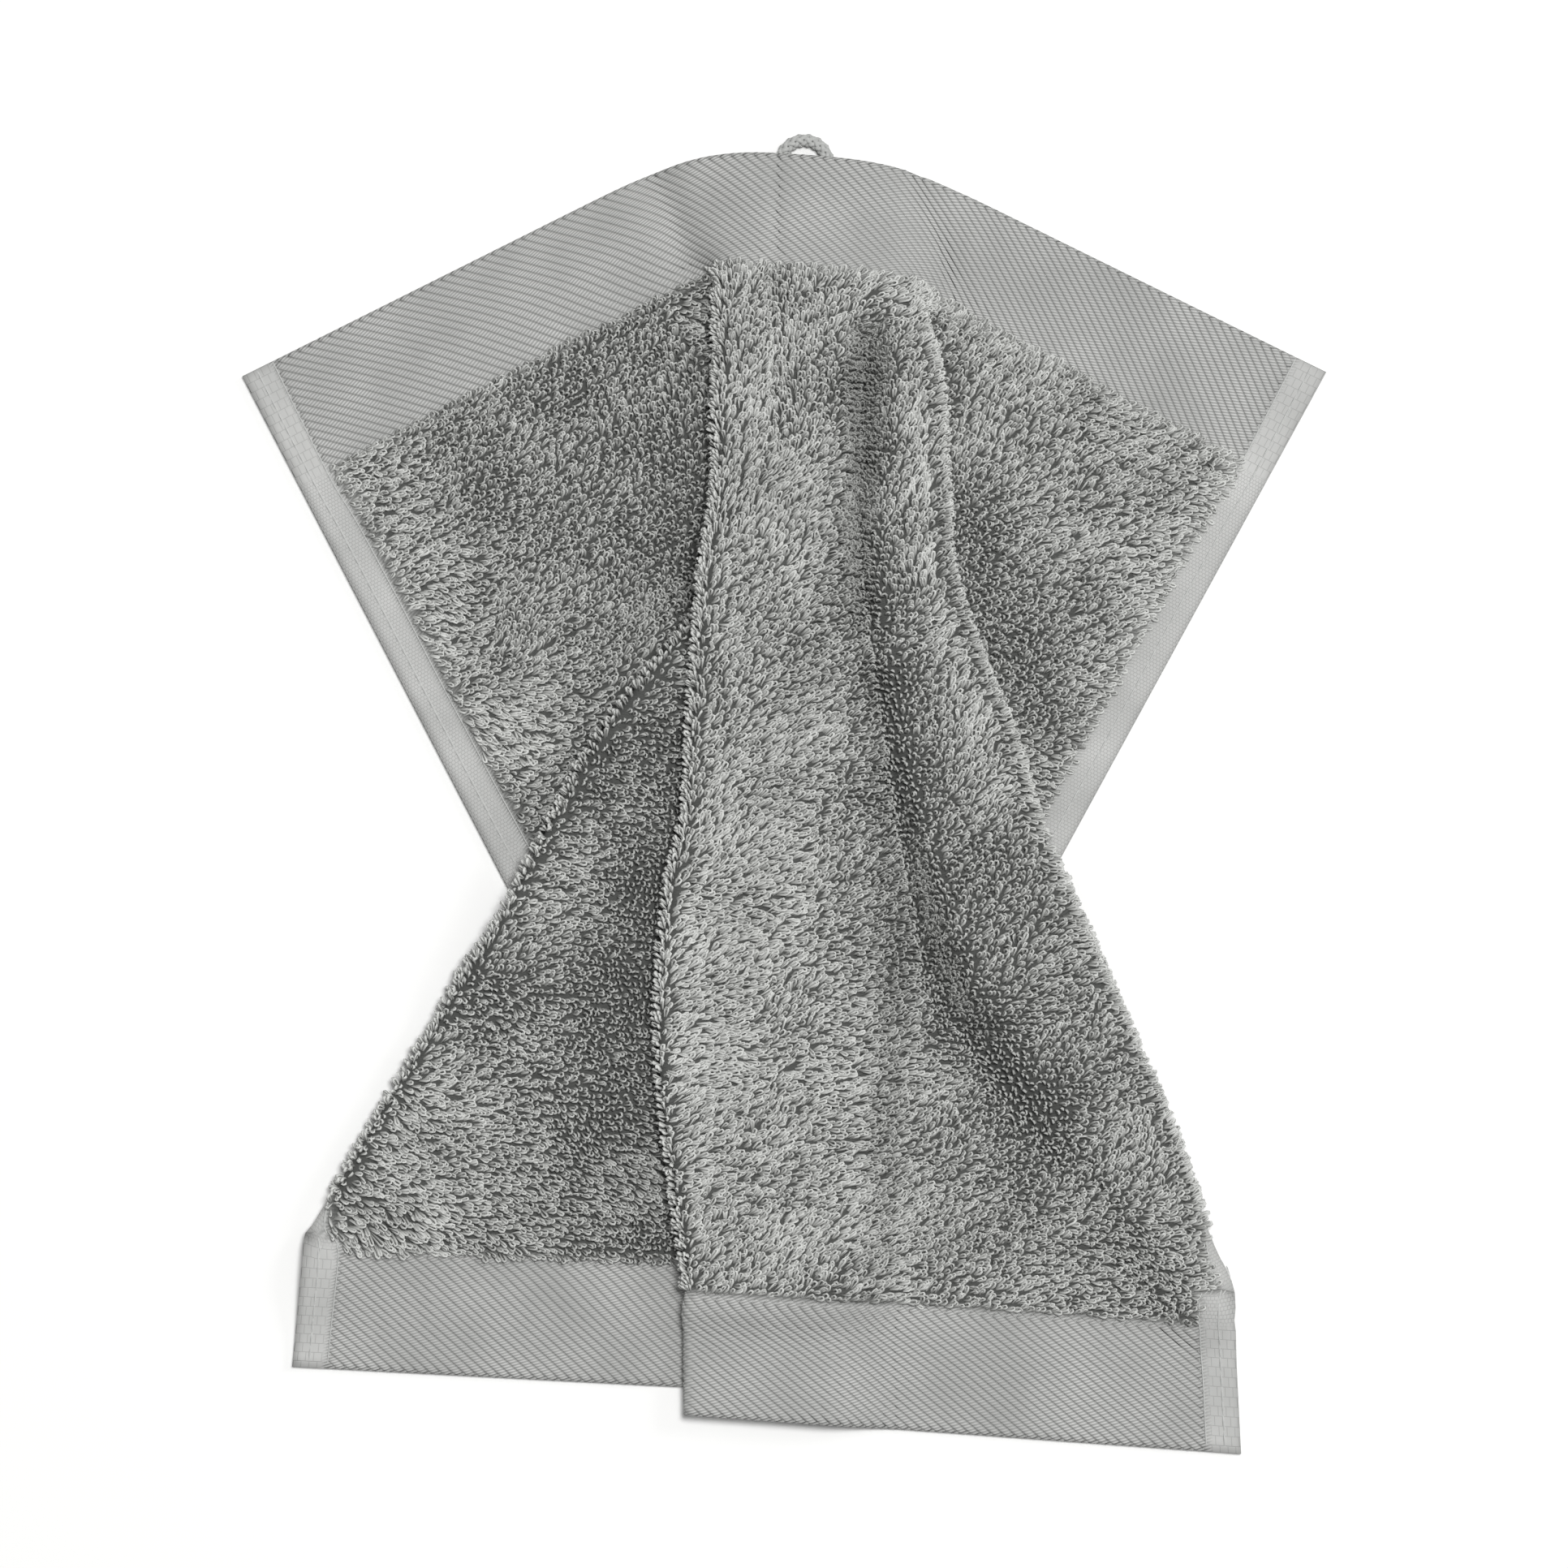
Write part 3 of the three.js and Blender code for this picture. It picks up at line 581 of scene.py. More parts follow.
# The top band is stiff, so near the top hem the pleats round over softly instead of creasing
soft_top_reach = 13
soft_top_start = 20
soft_top_end = 46
for k in np.flatnonzero(downs < soft_top_end):
    ids = np.flatnonzero(placed[k])
    row = middle[k, ids]
    travelled = np.concatenate([[0], np.cumsum(np.linalg.norm(np.diff(row, axis=0), axis=1))])
    reach = soft_top_reach * (1 - smooth(soft_top_start, soft_top_end, downs[k])) + 0.01
    weight = np.exp(-(((travelled[:, None] - travelled) / reach) ** 2)) * np.gradient(travelled)
    softened = weight @ row / weight.sum(1, keepdims=True)
    from_end = np.minimum(travelled, travelled[-1] - travelled)
    middle[k, ids] = mix(row, softened, smooth(reach, 3 * reach, from_end)[:, None])
steps = np.linalg.norm(np.diff(np.where(placed[..., None], middle, 0), axis=1), axis=-1)
steps[~(placed[:, 1:] & placed[:, :-1])] = 0
from_left = np.concatenate([np.zeros((len(downs), 1)), np.cumsum(steps, 1)], 1)
from_right = from_left[:, -1:] - from_left
from_side = np.minimum(from_left, from_right)
from_end = np.minimum(downs, flat_length - downs)[:, None]
pile_share = smooth(0, thickness_step, np.minimum(from_end - band_height, from_side - hem_width))
middle[..., 2] += mix(2 * hem_middle, lying_thickness, pile_share) / 2

# Soft creases and swellings of the front and the top band. Each runs along a short line, with the distance at
# which it has mostly faded and its rise, which is below 0 where it sinks in.
crease_row = [("x", float), ("y", float), ("to_x", float), ("to_y", float), ("width", float), ("rise", float)]
creases = np.array(
    [
        (-3.2, 126, -3.2, 82, 3.5, -1.4),
        (-27, -31, -8, -33, 3.5, -1.3),
        (-27, -40, -10, -43, 4, 1.2),
        (-1.3, 154, -1.5, 132, 1.4, -0.7),
        (-5, 146, 6, 140, 8, 1.2),
        (-31, 149, -22, 128, 5, -2.6),
        (31, 150, 41, 122, 5, -2.6),
        (19, 103, 20, 50, 4, -0.8),
    ],
    crease_row,
)
is_front = np.zeros(middle.shape[:2], bool)
is_front[:, block_starts[4] : block_starts[5]] = True
is_front[downs < soft_top_end] = True
for crease in creases:
    start = np.array([crease["x"], crease["y"]])
    run = np.array([crease["to_x"], crease["to_y"]]) - start
    share = np.clip((middle[..., :2] - start) @ run / (run @ run), 0, 1)
    aside = np.linalg.norm(middle[..., :2] - start - share[..., None] * run, axis=-1)
    middle[..., 2] += np.where(is_front, crease["rise"] * np.exp(-((aside / crease["width"]) ** 2)), 0)


def sheet_faces(placed):
    """Triangles of the sheet's front face. Where a fold runs out at a hem, they fan to the hem's next point.
    Also gives the number of each place's point."""
    number = np.full(placed.shape, -1)
    number[placed] = np.arange(placed.sum())
    faces = []
    for k in range(len(placed) - 1):
        upper = np.flatnonzero(placed[k])
        lower = np.flatnonzero(placed[k + 1])
        start, end = max(upper[0], lower[0]), min(upper[-1], lower[-1])
        a, b = number[k], number[k + 1]
        faces += [(a[i], b[start], a[i + 1]) for i in range(upper[0], start)]
        faces += [(a[i], b[i], b[i + 1]) for i in range(start, end)]
        faces += [(a[i], b[i + 1], a[i + 1]) for i in range(start, end)]
        faces += [(a[i], b[end], a[i + 1]) for i in range(end, upper[-1])]
    return np.array(faces), number


faces, number = sheet_faces(placed)
points = middle[placed]
corner = points[faces]
face_normals = np.cross(corner[:, 1] - corner[:, 0], corner[:, 2] - corner[:, 0])
normals = np.zeros_like(points)
for k in range(3):
    np.add.at(normals, faces[:, k], face_normals)
normals /= np.maximum(np.linalg.norm(normals, axis=1, keepdims=True), 1e-9)
normal_grid = np.full_like(middle, np.nan)
normal_grid[placed] = normals

hem_share = 1 - smooth(hem_width - hem_step, hem_width, from_side)
thickness = mix(mix(band_thickness, ground_thickness, pile_share), hem_thickness, hem_share)
half = thickness[placed][:, None] / 2
front_side = points + normals * half
back_side = points - normals * half
front_side[:, 2] = np.maximum(front_side[:, 2], floor_clearance)
back_side[:, 2] = np.maximum(back_side[:, 2], floor_clearance)
count = len(points)
edges = np.concatenate([faces[:, [0, 1]], faces[:, [1, 2]], faces[:, [2, 0]]])
keys = set(map(tuple, edges))
rim = [(b, a, a + count, b + count) for a, b in edges if (b, a) not in keys]
front_faces = [tuple(face) for face in faces.tolist()]
back_faces = [(r + count, q + count, p + count) for p, q, r in front_faces]
ground_mesh = bpy.data.meshes.new("washcloth_ground")
corners = (np.concatenate([front_side, back_side]) * MM).tolist()
ground_mesh.from_pydata(corners, [], front_faces + back_faces + rim)
ground_mesh.validate()
weave = ground_mesh.uv_layers.new(name="weave")
across_grid = from_left * flat_width / from_left[:, -1:]
down_grid = np.broadcast_to(downs[:, None], placed.shape)
corner_vertex = np.zeros(len(ground_mesh.loops), int)
ground_mesh.loops.foreach_get("vertex_index", corner_vertex)
uv = np.stack([across_grid[placed], down_grid[placed]], -1)[corner_vertex % count] * MM
weave.data.foreach_set("uv", uv.astype(np.float32).ravel())
for name, share in [
    ("pile", pile_share),
    ("hem", hem_share),
    ("band", np.broadcast_to(1 - smooth(0, 0.4, from_end - band_height), placed.shape)),
]:
    attribute = ground_mesh.attributes.new(name, "FLOAT", "POINT")
    attribute.data.foreach_set("value", np.tile(share[placed], 2).astype(np.float32))
ground_mesh.polygons.foreach_set("use_smooth", [True] * len(ground_mesh.polygons))
washcloth = add_object("washcloth_ground", ground_mesh)

# Ring-spun cotton, woven: matt, with no gloss. Its pattern follows the cloth's own flat coordinates, so that
# it turns with the folds: short slanted threads on the twill's ribs and plain checks in the side hems,
# coloured darker in their low places as painted shade. Under the pile the ground is a dark grey that is
# painted shade of the loops' feet. A wave of scale 1 repeats every tenth of pi.
rib_pitch = 1.76
rib_slope = 39
thread_slope = 22
thread_pitch = 0.72
check_contrast = 0.45
wave_period = 0.1 * math.pi
woven_cotton, tree, shader = material("ring-spun woven cotton", 0.9)
flat_place = add(tree, "ShaderNodeUVMap", uv_map="weave")
waves = {}
for name, pitch, turn in [("ribs", rib_pitch, 90 + rib_slope), ("threads", thread_pitch, 90 - thread_slope)]:
    turned = add(tree, "ShaderNodeMapping", [("Vector", flat_place.outputs["UV"])])
    turned.inputs["Rotation"].default_value[2] = -math.radians(turn)
    turned.inputs["Scale"].default_value = [wave_period / (pitch * MM)] * 3
    wave = add(tree, "ShaderNodeTexWave", [("Vector", turned.outputs["Vector"])], Scale=1.0)
    waves[name] = wave.outputs["Fac"]
checks = {}
for name, width, height, gap in [("fine", 0.85, 0.82, 0.09), ("coarse", 1.9, 2.3, 0.13)]:
    brick = add(tree, "ShaderNodeTexBrick", [("Vector", flat_place.outputs["UV"])], Scale=1.0)
    brick.inputs["Mortar Smooth"].default_value = 1
    brick.inputs["Brick Width"].default_value = width * MM
    brick.inputs["Row Height"].default_value = height * MM
    brick.inputs["Mortar Size"].default_value = gap * MM
    checks[name] = brick.outputs["Fac"]
in_hem = add(tree, "ShaderNodeAttribute", attribute_name="hem")
in_band = add(tree, "ShaderNodeAttribute", attribute_name="band")
in_pile = add(tree, "ShaderNodeAttribute", attribute_name="pile")
rib_top = add(tree, "ShaderNodeMapRange", [("Value", waves["ribs"])], From_Max=0.25, To_Min=0.55)
thread_top = add(tree, "ShaderNodeMapRange", [("Value", waves["threads"])], From_Min=0.1, From_Max=0.7)
twill = add(
    tree,
    "ShaderNodeMath",
    [(0, rib_top.outputs["Result"]), (1, thread_top.outputs["Result"])],
    operation="MULTIPLY",
)
check = add(
    tree,
    "ShaderNodeMix",
    [("Factor", in_band.outputs["Fac"]), (2, checks["fine"]), (3, checks["coarse"])],
)
check_top = add(tree, "ShaderNodeMath", [(0, check.outputs[0])], operation="MULTIPLY_ADD")
check_top.inputs[1].default_value = -check_contrast
check_top.inputs[2].default_value = 0.9
woven = add(
    tree,
    "ShaderNodeMix",
    [("Factor", in_hem.outputs["Fac"]), (2, twill.outputs[0]), (3, check_top.outputs[0])],
)
worn = add(tree, "ShaderNodeTexNoise", [("Vector", flat_place.outputs["UV"])], Scale=45.0, Detail=3.0)
height_links = [(0, woven.outputs[0]), (1, worn.outputs["Fac"])]
height = add(tree, "ShaderNodeMath", height_links, operation="MULTIPLY_ADD")
height.inputs[2].default_value = 0.1
# Painted shade: the colour runs from dark in the weave's low places, its grooves and the gaps between checks,
# to light on the raised threads
cotton = add(tree, "ShaderNodeMix", [("Factor", height.outputs[0])], data_type="RGBA")
cotton.inputs[6].default_value = linear("#8f908e")
cotton.inputs[7].default_value = linear("#cfcfcd")
# Painted shade: under the pile the ground is coloured a dark grey that stands in for the shade of the loops'
# feet
shaded_links = [("Factor", in_pile.outputs["Fac"]), (6, cotton.outputs[2])]
shaded = add(tree, "ShaderNodeMix", shaded_links, data_type="RGBA")
shaded.inputs[7].default_value = linear("#4c4d4b")
relief = add(tree, "ShaderNodeBump", [("Height", woven.outputs[0])], Strength=0.8, Distance=0.15 * MM)
tree.links.new(shaded.outputs[2], shader.inputs["Base Color"])
tree.links.new(relief.outputs["Normal"], shader.inputs["Normal"])
ground_mesh.materials.append(woven_cotton)
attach(washcloth, "root")
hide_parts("washcloth")

# The bands are woven in a bold twill. Its ribs are ropes of warp threads, raised from the band, that run down
# to the right from edge to edge and stop at the side hems. Their profile is in shares of pitch and height.
rib_height = 0.24
rib_step = 1.7
rib_profile = np.array([(-0.5, -0.3), (-0.38, 0.8), (0, 1), (0.38, 0.8), (0.5, -0.3)])
rib_sides = len(rib_profile)
rib_run = np.array([math.cos(math.radians(rib_slope)), math.sin(math.radians(rib_slope))])


def on_cloth(across, down):
    """Points on the middle of the cloth's thickness, the normals there and the columns of the sheet, for
    places on the flat cloth."""
    columns = np.broadcast_to(np.arange(placed.shape[1])[:, None], middle[..., :1].shape)
    grid = np.concatenate([middle, normal_grid, columns], -1)
    kinds = grid.shape[-1]
    found = np.zeros((len(down), kinds))
    k = np.clip(np.searchsorted(downs, down, side="right") - 1, 0, len(downs) - 2)
    share = (down - downs[k]) / (downs[k + 1] - downs[k])
    for row in np.unique(k):
        chosen = k == row
        ends = []
        for index in (row, row + 1):
            ids = np.flatnonzero(placed[index])
            known = across_grid[index, ids]
            read = [np.interp(across[chosen], known, grid[index, ids, kind]) for kind in range(kinds)]
            ends.append(np.stack(read, -1))
        found[chosen] = mix(ends[0], ends[1], share[chosen, None])
    return found[:, :3], found[:, 3:6] / np.linalg.norm(found[:, 3:6], axis=1, keepdims=True), found[:, 6]


def rib_spines(start, end):
    """The middle lines of one band's ribs, as distances across and down the flat cloth."""
    first = math.floor((start * rib_run[0] - flat_width * rib_run[1]) / rib_pitch)
    last = math.ceil(end * rib_run[0] / rib_pitch)
    for number in range(first, last):
        offset = (number + 0.5) * rib_pitch
        top = max(start, (offset + hem_width * rib_run[1]) / rib_run[0])
        bottom = min(end, (offset + (flat_width - hem_width) * rib_run[1]) / rib_run[0])
        if bottom - top > rib_step:
            down = np.linspace(top, bottom, math.ceil((bottom - top) / (rib_step * rib_run[1])) + 1)
            yield np.stack([(down * rib_run[0] - offset) / rib_run[1], down], -1)


def tube_quads(rings, sides):
    """The faces round a tube whose corners are numbered ring by ring."""
    step = sides * np.arange(rings - 1)[:, None]
    side = np.arange(sides)
    after = (side + 1) % sides
    return np.stack([step + side, step + after, step + sides + after, step + sides + side], -1).reshape(-1, 4)


def tube_faces(rings, sides, first):
    """The faces of a tube with closed ends, whose corners are numbered on from the first."""
    end = np.arange(sides)
    ends = [(first + end[::-1]).tolist(), (first + sides * (rings - 1) + end).tolist()]
    return (first + tube_quads(rings, sides)).tolist() + ends


rib_corners = []
rib_faces = []
for spine in [*rib_spines(0, band_height), *rib_spines(flat_length - band_height, flat_length)]:
    rib_faces += tube_faces(len(spine), rib_sides, sum(map(len, rib_corners)))
    aside = rib_profile[:, :1] * rib_pitch * np.array([-rib_run[1], rib_run[0]])
    flat = (spine[:, None] + aside).reshape(-1, 2).clip([0, 0], [flat_width, flat_length])
    rib_corners.append(np.column_stack([flat, np.tile(rib_profile[:, 1] * rib_height, len(spine))]))
rib_corners = np.concatenate(rib_corners)
places, ups, _ = on_cloth(rib_corners[:, 0], rib_corners[:, 1])
raised = places + ups * (band_thickness / 2 + rib_corners[:, 2:])
raised[:, 2] = np.maximum(raised[:, 2], floor_clearance)
twill_mesh = bpy.data.meshes.new("twill_ribs")
twill_mesh.from_pydata((raised * MM).tolist(), [], rib_faces)
corner_vertex = np.zeros(len(twill_mesh.loops), int)
twill_mesh.loops.foreach_get("vertex_index", corner_vertex)
weave = twill_mesh.uv_layers.new(name="weave")
weave.data.foreach_set("uv", (rib_corners[corner_vertex, :2] * MM).astype(np.float32).ravel())
twill_mesh.polygons.foreach_set("use_smooth", [len(polygon.vertices) == 4 for polygon in twill_mesh.polygons])
twill_mesh.materials.append(woven_cotton)
twill_ribs = add_object("twill_ribs", twill_mesh)
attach(twill_ribs, "root")

# The side hems are turned under and sewn down from end to end with grey polyester thread: an open row of long
# stitches near the edge, and a close one along the hem's inner fold.
stitching = bpy.data.node_groups.new("stitching", "GeometryNodeTree")
stitching.interface.new_socket("Geometry", in_out="INPUT", socket_type="NodeSocketGeometry")
for name in ("Pitch", "Length", "Thread"):
    stitching.interface.new_socket(name, in_out="INPUT", socket_type="NodeSocketFloat")
stitching.interface.new_socket("Material", in_out="INPUT", socket_type="NodeSocketMaterial")
stitching.interface.new_socket("Geometry", in_out="OUTPUT", socket_type="NodeSocketGeometry")
given = add(stitching, "NodeGroupInput")
path = add(stitching, "GeometryNodeMeshToCurve", [("Mesh", given.outputs["Geometry"])])
spaced = add(
    stitching,
    "GeometryNodeResampleCurve",
    [("Curve", path.outputs["Curve"]), ("Length", given.outputs["Pitch"])],
    mode="LENGTH",
)
# One stitch is an arc of thread that dips into the cloth at both ends. It is 1 long and 1 thick, and scaled.
arc = add(
    stitching,
    "GeometryNodeCurveQuadraticBezier",
    Resolution=4,
    Start=(-0.5, 0, -0.7),
    Middle=(0, 0, 1.1),
    End=(0.5, 0, -0.7),
)
circle = add(stitching, "GeometryNodeCurvePrimitiveCircle", Resolution=5, Radius=0.5)
thread = add(
    stitching,
    "GeometryNodeCurveToMesh",
    [("Curve", arc.outputs["Curve"]), ("Profile Curve", circle.outputs["Curve"])],
    Fill_Caps=True,
)
tangent = add(stitching, "GeometryNodeInputTangent")
up_name = add(stitching, "GeometryNodeInputNamedAttribute", data_type="FLOAT_VECTOR", Name="up")
lined_up = add(
    stitching,
    "FunctionNodeAlignRotationToVector",
    [("Vector", tangent.outputs["Tangent"])],
    axis="X",
)
turned = add(
    stitching,
    "FunctionNodeAlignRotationToVector",
    [("Rotation", lined_up.outputs["Rotation"]), ("Vector", up_name.outputs["Attribute"])],
    axis="Z",
    pivot_axis="X",
)
scale = add(
    stitching,
    "ShaderNodeCombineXYZ",
    [("X", given.outputs["Length"]), ("Y", given.outputs["Thread"]), ("Z", given.outputs["Thread"])],
)
stitches = add(
    stitching,
    "GeometryNodeInstanceOnPoints",
    [
        ("Points", spaced.outputs["Curve"]),
        ("Instance", thread.outputs["Mesh"]),
        ("Rotation", turned.outputs["Rotation"]),
        ("Scale", scale.outputs["Vector"]),
    ],
)
real = add(stitching, "GeometryNodeRealizeInstances", [("Geometry", stitches.outputs["Instances"])])
finished = add(
    stitching,
    "GeometryNodeSetMaterial",
    [("Geometry", real.outputs["Geometry"]), ("Material", given.outputs["Material"])],
)
add(stitching, "NodeGroupOutput", [("Geometry", finished.outputs["Geometry"])])

# Spun polyester thread: finer and a little smoother than the cotton, so it takes a soft sheen
sewing_thread, tree, shader = material("spun polyester thread", 0.6)
spun = add(tree, "ShaderNodeTexNoise", Scale=900.0)
spun_tone = add(tree, "ShaderNodeMix", [("Factor", spun.outputs["Fac"])], data_type="RGBA")
spun_tone.inputs[6].default_value = linear("#a4a5a3")
spun_tone.inputs[7].default_value = linear("#cacbc9")
object_place = add(tree, "ShaderNodeTexCoord")
tree.links.new(object_place.outputs["Object"], spun.inputs["Vector"])
tree.links.new(spun_tone.outputs[2], shader.inputs["Base Color"])

# Where the two rows are sewn. A stitch reaches down from its place by as much as its depth, in thread widths.
seam_start = 2.6
seam_end = flat_length - 2.4
seam_step = 1.5
stitch_lift = 0.05
stitch_depth = 1.2
for name, inset, pitch, length, thread in [
    ("hem_stitches", 3.8, 3.5, 2.9, 0.4),
    ("hem_fold_stitches", hem_width - 0.3, 2.6, 2.5, 0.34),
]:
    down = np.arange(seam_start, seam_end, seam_step)
    corners = []
    ups = []
    for across in (inset, flat_width - inset):
        spots, directions, _ = on_cloth(np.full(len(down), across), down)
        spots = spots + directions * (hem_thickness / 2 + stitch_lift)
        spots[:, 2] = np.maximum(spots[:, 2], stitch_depth * thread)
        corners.append(spots)
        ups.append(directions)
    path_mesh = bpy.data.meshes.new(name + "_path")
    number = len(down)
    links = [(k, k + 1) for k in range(2 * number - 1) if k != number - 1]
    path_mesh.from_pydata((np.concatenate(corners) * MM).tolist(), links, [])
    attribute = path_mesh.attributes.new("up", "FLOAT_VECTOR", "POINT")
    attribute.data.foreach_set("vector", np.concatenate(ups).astype(np.float32).ravel())
    path_object = add_object(name + "_path", path_mesh)
    sewing = path_object.modifiers.new("sewing", "NODES")
    sewing.node_group = stitching
    values = {"Pitch": pitch * MM, "Length": length * MM, "Thread": thread * MM, "Material": sewing_thread}
    for item in stitching.interface.items_tree:
        if item.in_out == "INPUT" and item.name in values:
            sewing[item.identifier] = values[item.name]
    evaluated = path_object.evaluated_get(bpy.context.evaluated_depsgraph_get())
    row_mesh = bpy.data.meshes.new_from_object(evaluated)
    bpy.data.objects.remove(path_object)
    row_mesh.polygons.foreach_set("use_smooth", [True] * len(row_mesh.polygons))
    row = add_object(name, row_mesh)
    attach(row, "root")

# The pile is loops of loose cotton yarn, drawn up from the ground in rows as the cloth was woven. Each is a
# narrow ring of yarn. Use and folding have combed them over: they lie flat on the tops of the folds and stand
# upright in the hollows between.
loop_row_pitch = 1.5
loop_pitch = 1.12
first_row_inset = 0.8
last_row_inset = 0.6
root_scatter = 0.3
root_depth = 0.15
loop_length = 2.5
loop_width = 0.84
foot_spread = 0.1
yarn_radius = 0.35
yarn_sides = 3
yarn_clearance = 0.03
rng = np.random.default_rng(7)

# How the pile is combed at places on its panels: the way that the loops' heads point, in degrees from +X, and
# how far they lean over, in degrees from upright
nap_row = [("x", float), ("y", float), ("heading", float), ("lean", float)]
nap = {
    "left back": [
        (-101, 70, 15, 52), (-87, 42, -10, 58), (-71, 15, -20, 58), (-64, 66, 50, 36), (-64, 35, 35, 40),
        (-36, 93, 75, 42), (-36, 54, 55, 34), (-60, -4, 15, 45), (-25, 96, 90, 22), (-21, 78, 80, 20),
        (-22, 60, 70, 22),
    ],
    "left front": [
        (-29, 35, 0, 45), (-52, -24, 0, 50), (-27, 8, 0, 20), (-32, -22, 0, 18), (-34, -50, -10, 16),
        (-33, -78, 0, 18), (-29, -104, 0, 24), (-71, -72, 5, 54), (-40, -92, -5, 45), (-95, -98, -10, 50),
        (-103, -110, -45, 60), (-81, -53, 15, 45),
    ],
    "front": [
        (-13, 113, 85, 52), (-14, 92, 70, 58), (-15, 50, 55, 60), (-19, -8, 40, 64), (-23, -38, 30, 68),
        (-22, -66, 30, 68), (6, 119, 80, 45), (22, 122, 20, 60), (-13, 74, 75, 46), (2, 74, 40, 58),
        (3, 48, 40, 54), (13, 74, 25, 46), (20, 98, 70, 12), (20, 78, 60, 10), (21, 60, 60, 10),
        (22, 44, 60, 10), (25, 26, 50, 10), (29, 64, 75, 36), (33, 92, 60, 72), (35, 74, 60, 76),
        (36, 58, 60, 76), (40, 40, 60, 72), (47, 16, 60, 68), (-13, 15, 45, 52), (6, 15, 15, 52),
        (28, 2, 30, 14), (37, -40, 40, 16), (54, -70, 40, 18), (40, 25, 70, 45), (51, 5, 60, 60),
        (-3, -33, 10, 60), (-13, -82, 55, 56), (6, -63, 25, 60), (16, -102, 40, 56), (36, -72, 20, 48),
        (45, -24, 70, 24), (61, -43, 50, 45), (65, -82, 20, 32), (84, -82, 60, 56), (75, -111, 10, 45),
    ],
    "right back": [
        (45, 97, 45, 44), (65, 74, 30, 50), (84, 81, 20, 50), (94, 54, -10, 56), (48, 56, 40, 26),
        (55, 34, 40, 22), (63, 18, 20, 26), (75, 25, 15, 54), (63, 5, -20, 50),
    ],
}


def drift(spots, size):
    """Smooth random values for the spots, most of them from -1 to 1, that change over a distance of size."""
    count = 80
    cells = rng.normal(0, 0.6, (count, count))
    place = spots / size + count / 2
    corner = np.floor(place).astype(int)
    share = place - corner
    share = share * share * (3 - 2 * share)
    low = mix(cells[corner[:, 0], corner[:, 1]], cells[corner[:, 0] + 1, corner[:, 1]], share[:, 0])
    high = mix(cells[corner[:, 0], corner[:, 1] + 1], cells[corner[:, 0] + 1, corner[:, 1] + 1], share[:, 0])
    return mix(low, high, share[:, 1])


# Where the loops root: each row of loops lies half a pitch off the row above it
last_row = flat_length - band_height - last_row_inset
rows_down = np.arange(band_height + first_row_inset, last_row, loop_row_pitch)
rooted = []
for row, down in enumerate(rows_down):
    across = np.arange(hem_width + loop_pitch / 2 * (row % 2 + 0.5), flat_width - hem_width, loop_pitch)
    rooted.append(np.stack([across, np.full(len(across), down)], -1))
rooted = np.concatenate(rooted) + rng.uniform(-root_scatter, root_scatter, (sum(map(len, rooted)), 2))
root, normal, column = on_cloth(rooted[:, 0], rooted[:, 1])

# The outside of a fold opens its rows, so it takes more loops between them to hide the ground. Here and
# below, the height of the cloth's normal tells how steep it is, from 1 where it is face up to -1 face down.
filled_from = -0.1
filled_to = 0.72
filling = rooted + [loop_pitch / 2, 0]
filling = filling[filling[:, 0] < flat_width - hem_width]
more_root, more_normal, more_column = on_cloth(filling[:, 0], filling[:, 1])
steep = (more_normal[:, 2] < filled_to) & (more_normal[:, 2] > filled_from)
root = np.concatenate([root, more_root[steep]])
normal = np.concatenate([normal, more_normal[steep]])
column = np.concatenate([column, more_column[steep]])

# The pleats hide many loops. Those that can be seen from above are made, and of those that can only be seen
# from the sides, all but every third.
tip_height = 2.2
least_normal_height = -0.3
least_facing = -0.2
view_count = 8
view_run = 0.9
view_rise = 0.42
shell = BVHTree.FromPolygons(points.tolist(), faces.tolist())
views = [Vector((0, 0, 1))]
for azimuth in np.radians(np.arange(0, 360, 360 // view_count)):
    views.append(Vector((math.cos(azimuth) * view_run, math.sin(azimuth) * view_run, view_rise)).normalized())
seen = np.zeros(len(root), bool)
for k, (tip, up) in enumerate(zip((root + normal * tip_height).tolist(), normal.tolist())):
    if up[2] > least_normal_height:
        facing = [view for view in views if view.dot(Vector(up)) > least_facing]
        open_views = [view for view in facing if shell.ray_cast(Vector(tip), view)[0] is None]
        seen[k] = views[0] in open_views or (len(open_views) > 0 and k % 3 > 0)
root, normal, column = root[seen], normal[seen], column[seen]

# The panel that each loop grows on. A loop past the left valley fold, where the cloth has turned under, is
# combed as the front of that side is.
turned_under = 0.2
panel_ends = np.array([block_starts[1], block_starts[3], block_starts[5]]) - 0.5
panels = np.array(["left back", "left front", "front", "right back"])
panel_of = panels[np.searchsorted(panel_ends, column, "right")]
panel_of[(panel_of == "left back") & (normal[:, 2] < turned_under)] = "left front"

# The loops follow the nearest places of the table. Their headings and leans drift from tuft to tuft, and each
# is scattered a little more: by angles in degrees, and by drifts that change over these distances.
nap_softness = 5
heading_drift = 24
heading_drift_size = 13
heading_scatter = 18
lean_drift = 8
lean_drift_size = 12
lean_scatter = 8
least_lean = 8
most_lean = 76
steep_lean_share = 0.35
lean_steepness = (0.05, 0.75)
size_steepness = (0.1, 0.8)
heading = np.zeros(len(root))
lean = np.zeros(len(root))
for name, places in nap.items():
    rows = np.array(places, nap_row)
    chosen = panel_of == name
    spots = root[chosen, :2]
    weight = 1 / (np.hypot(spots[:, :1] - rows["x"], spots[:, 1:] - rows["y"]) + nap_softness) ** 3
    weight /= weight.sum(1, keepdims=True)
    turn = np.radians(rows["heading"])
    heading[chosen] = np.degrees(np.arctan2(weight @ np.sin(turn), weight @ np.cos(turn)))
    lean[chosen] = weight @ rows["lean"]
heading += heading_drift * drift(root[:, :2], heading_drift_size) + rng.normal(0, heading_scatter, len(root))
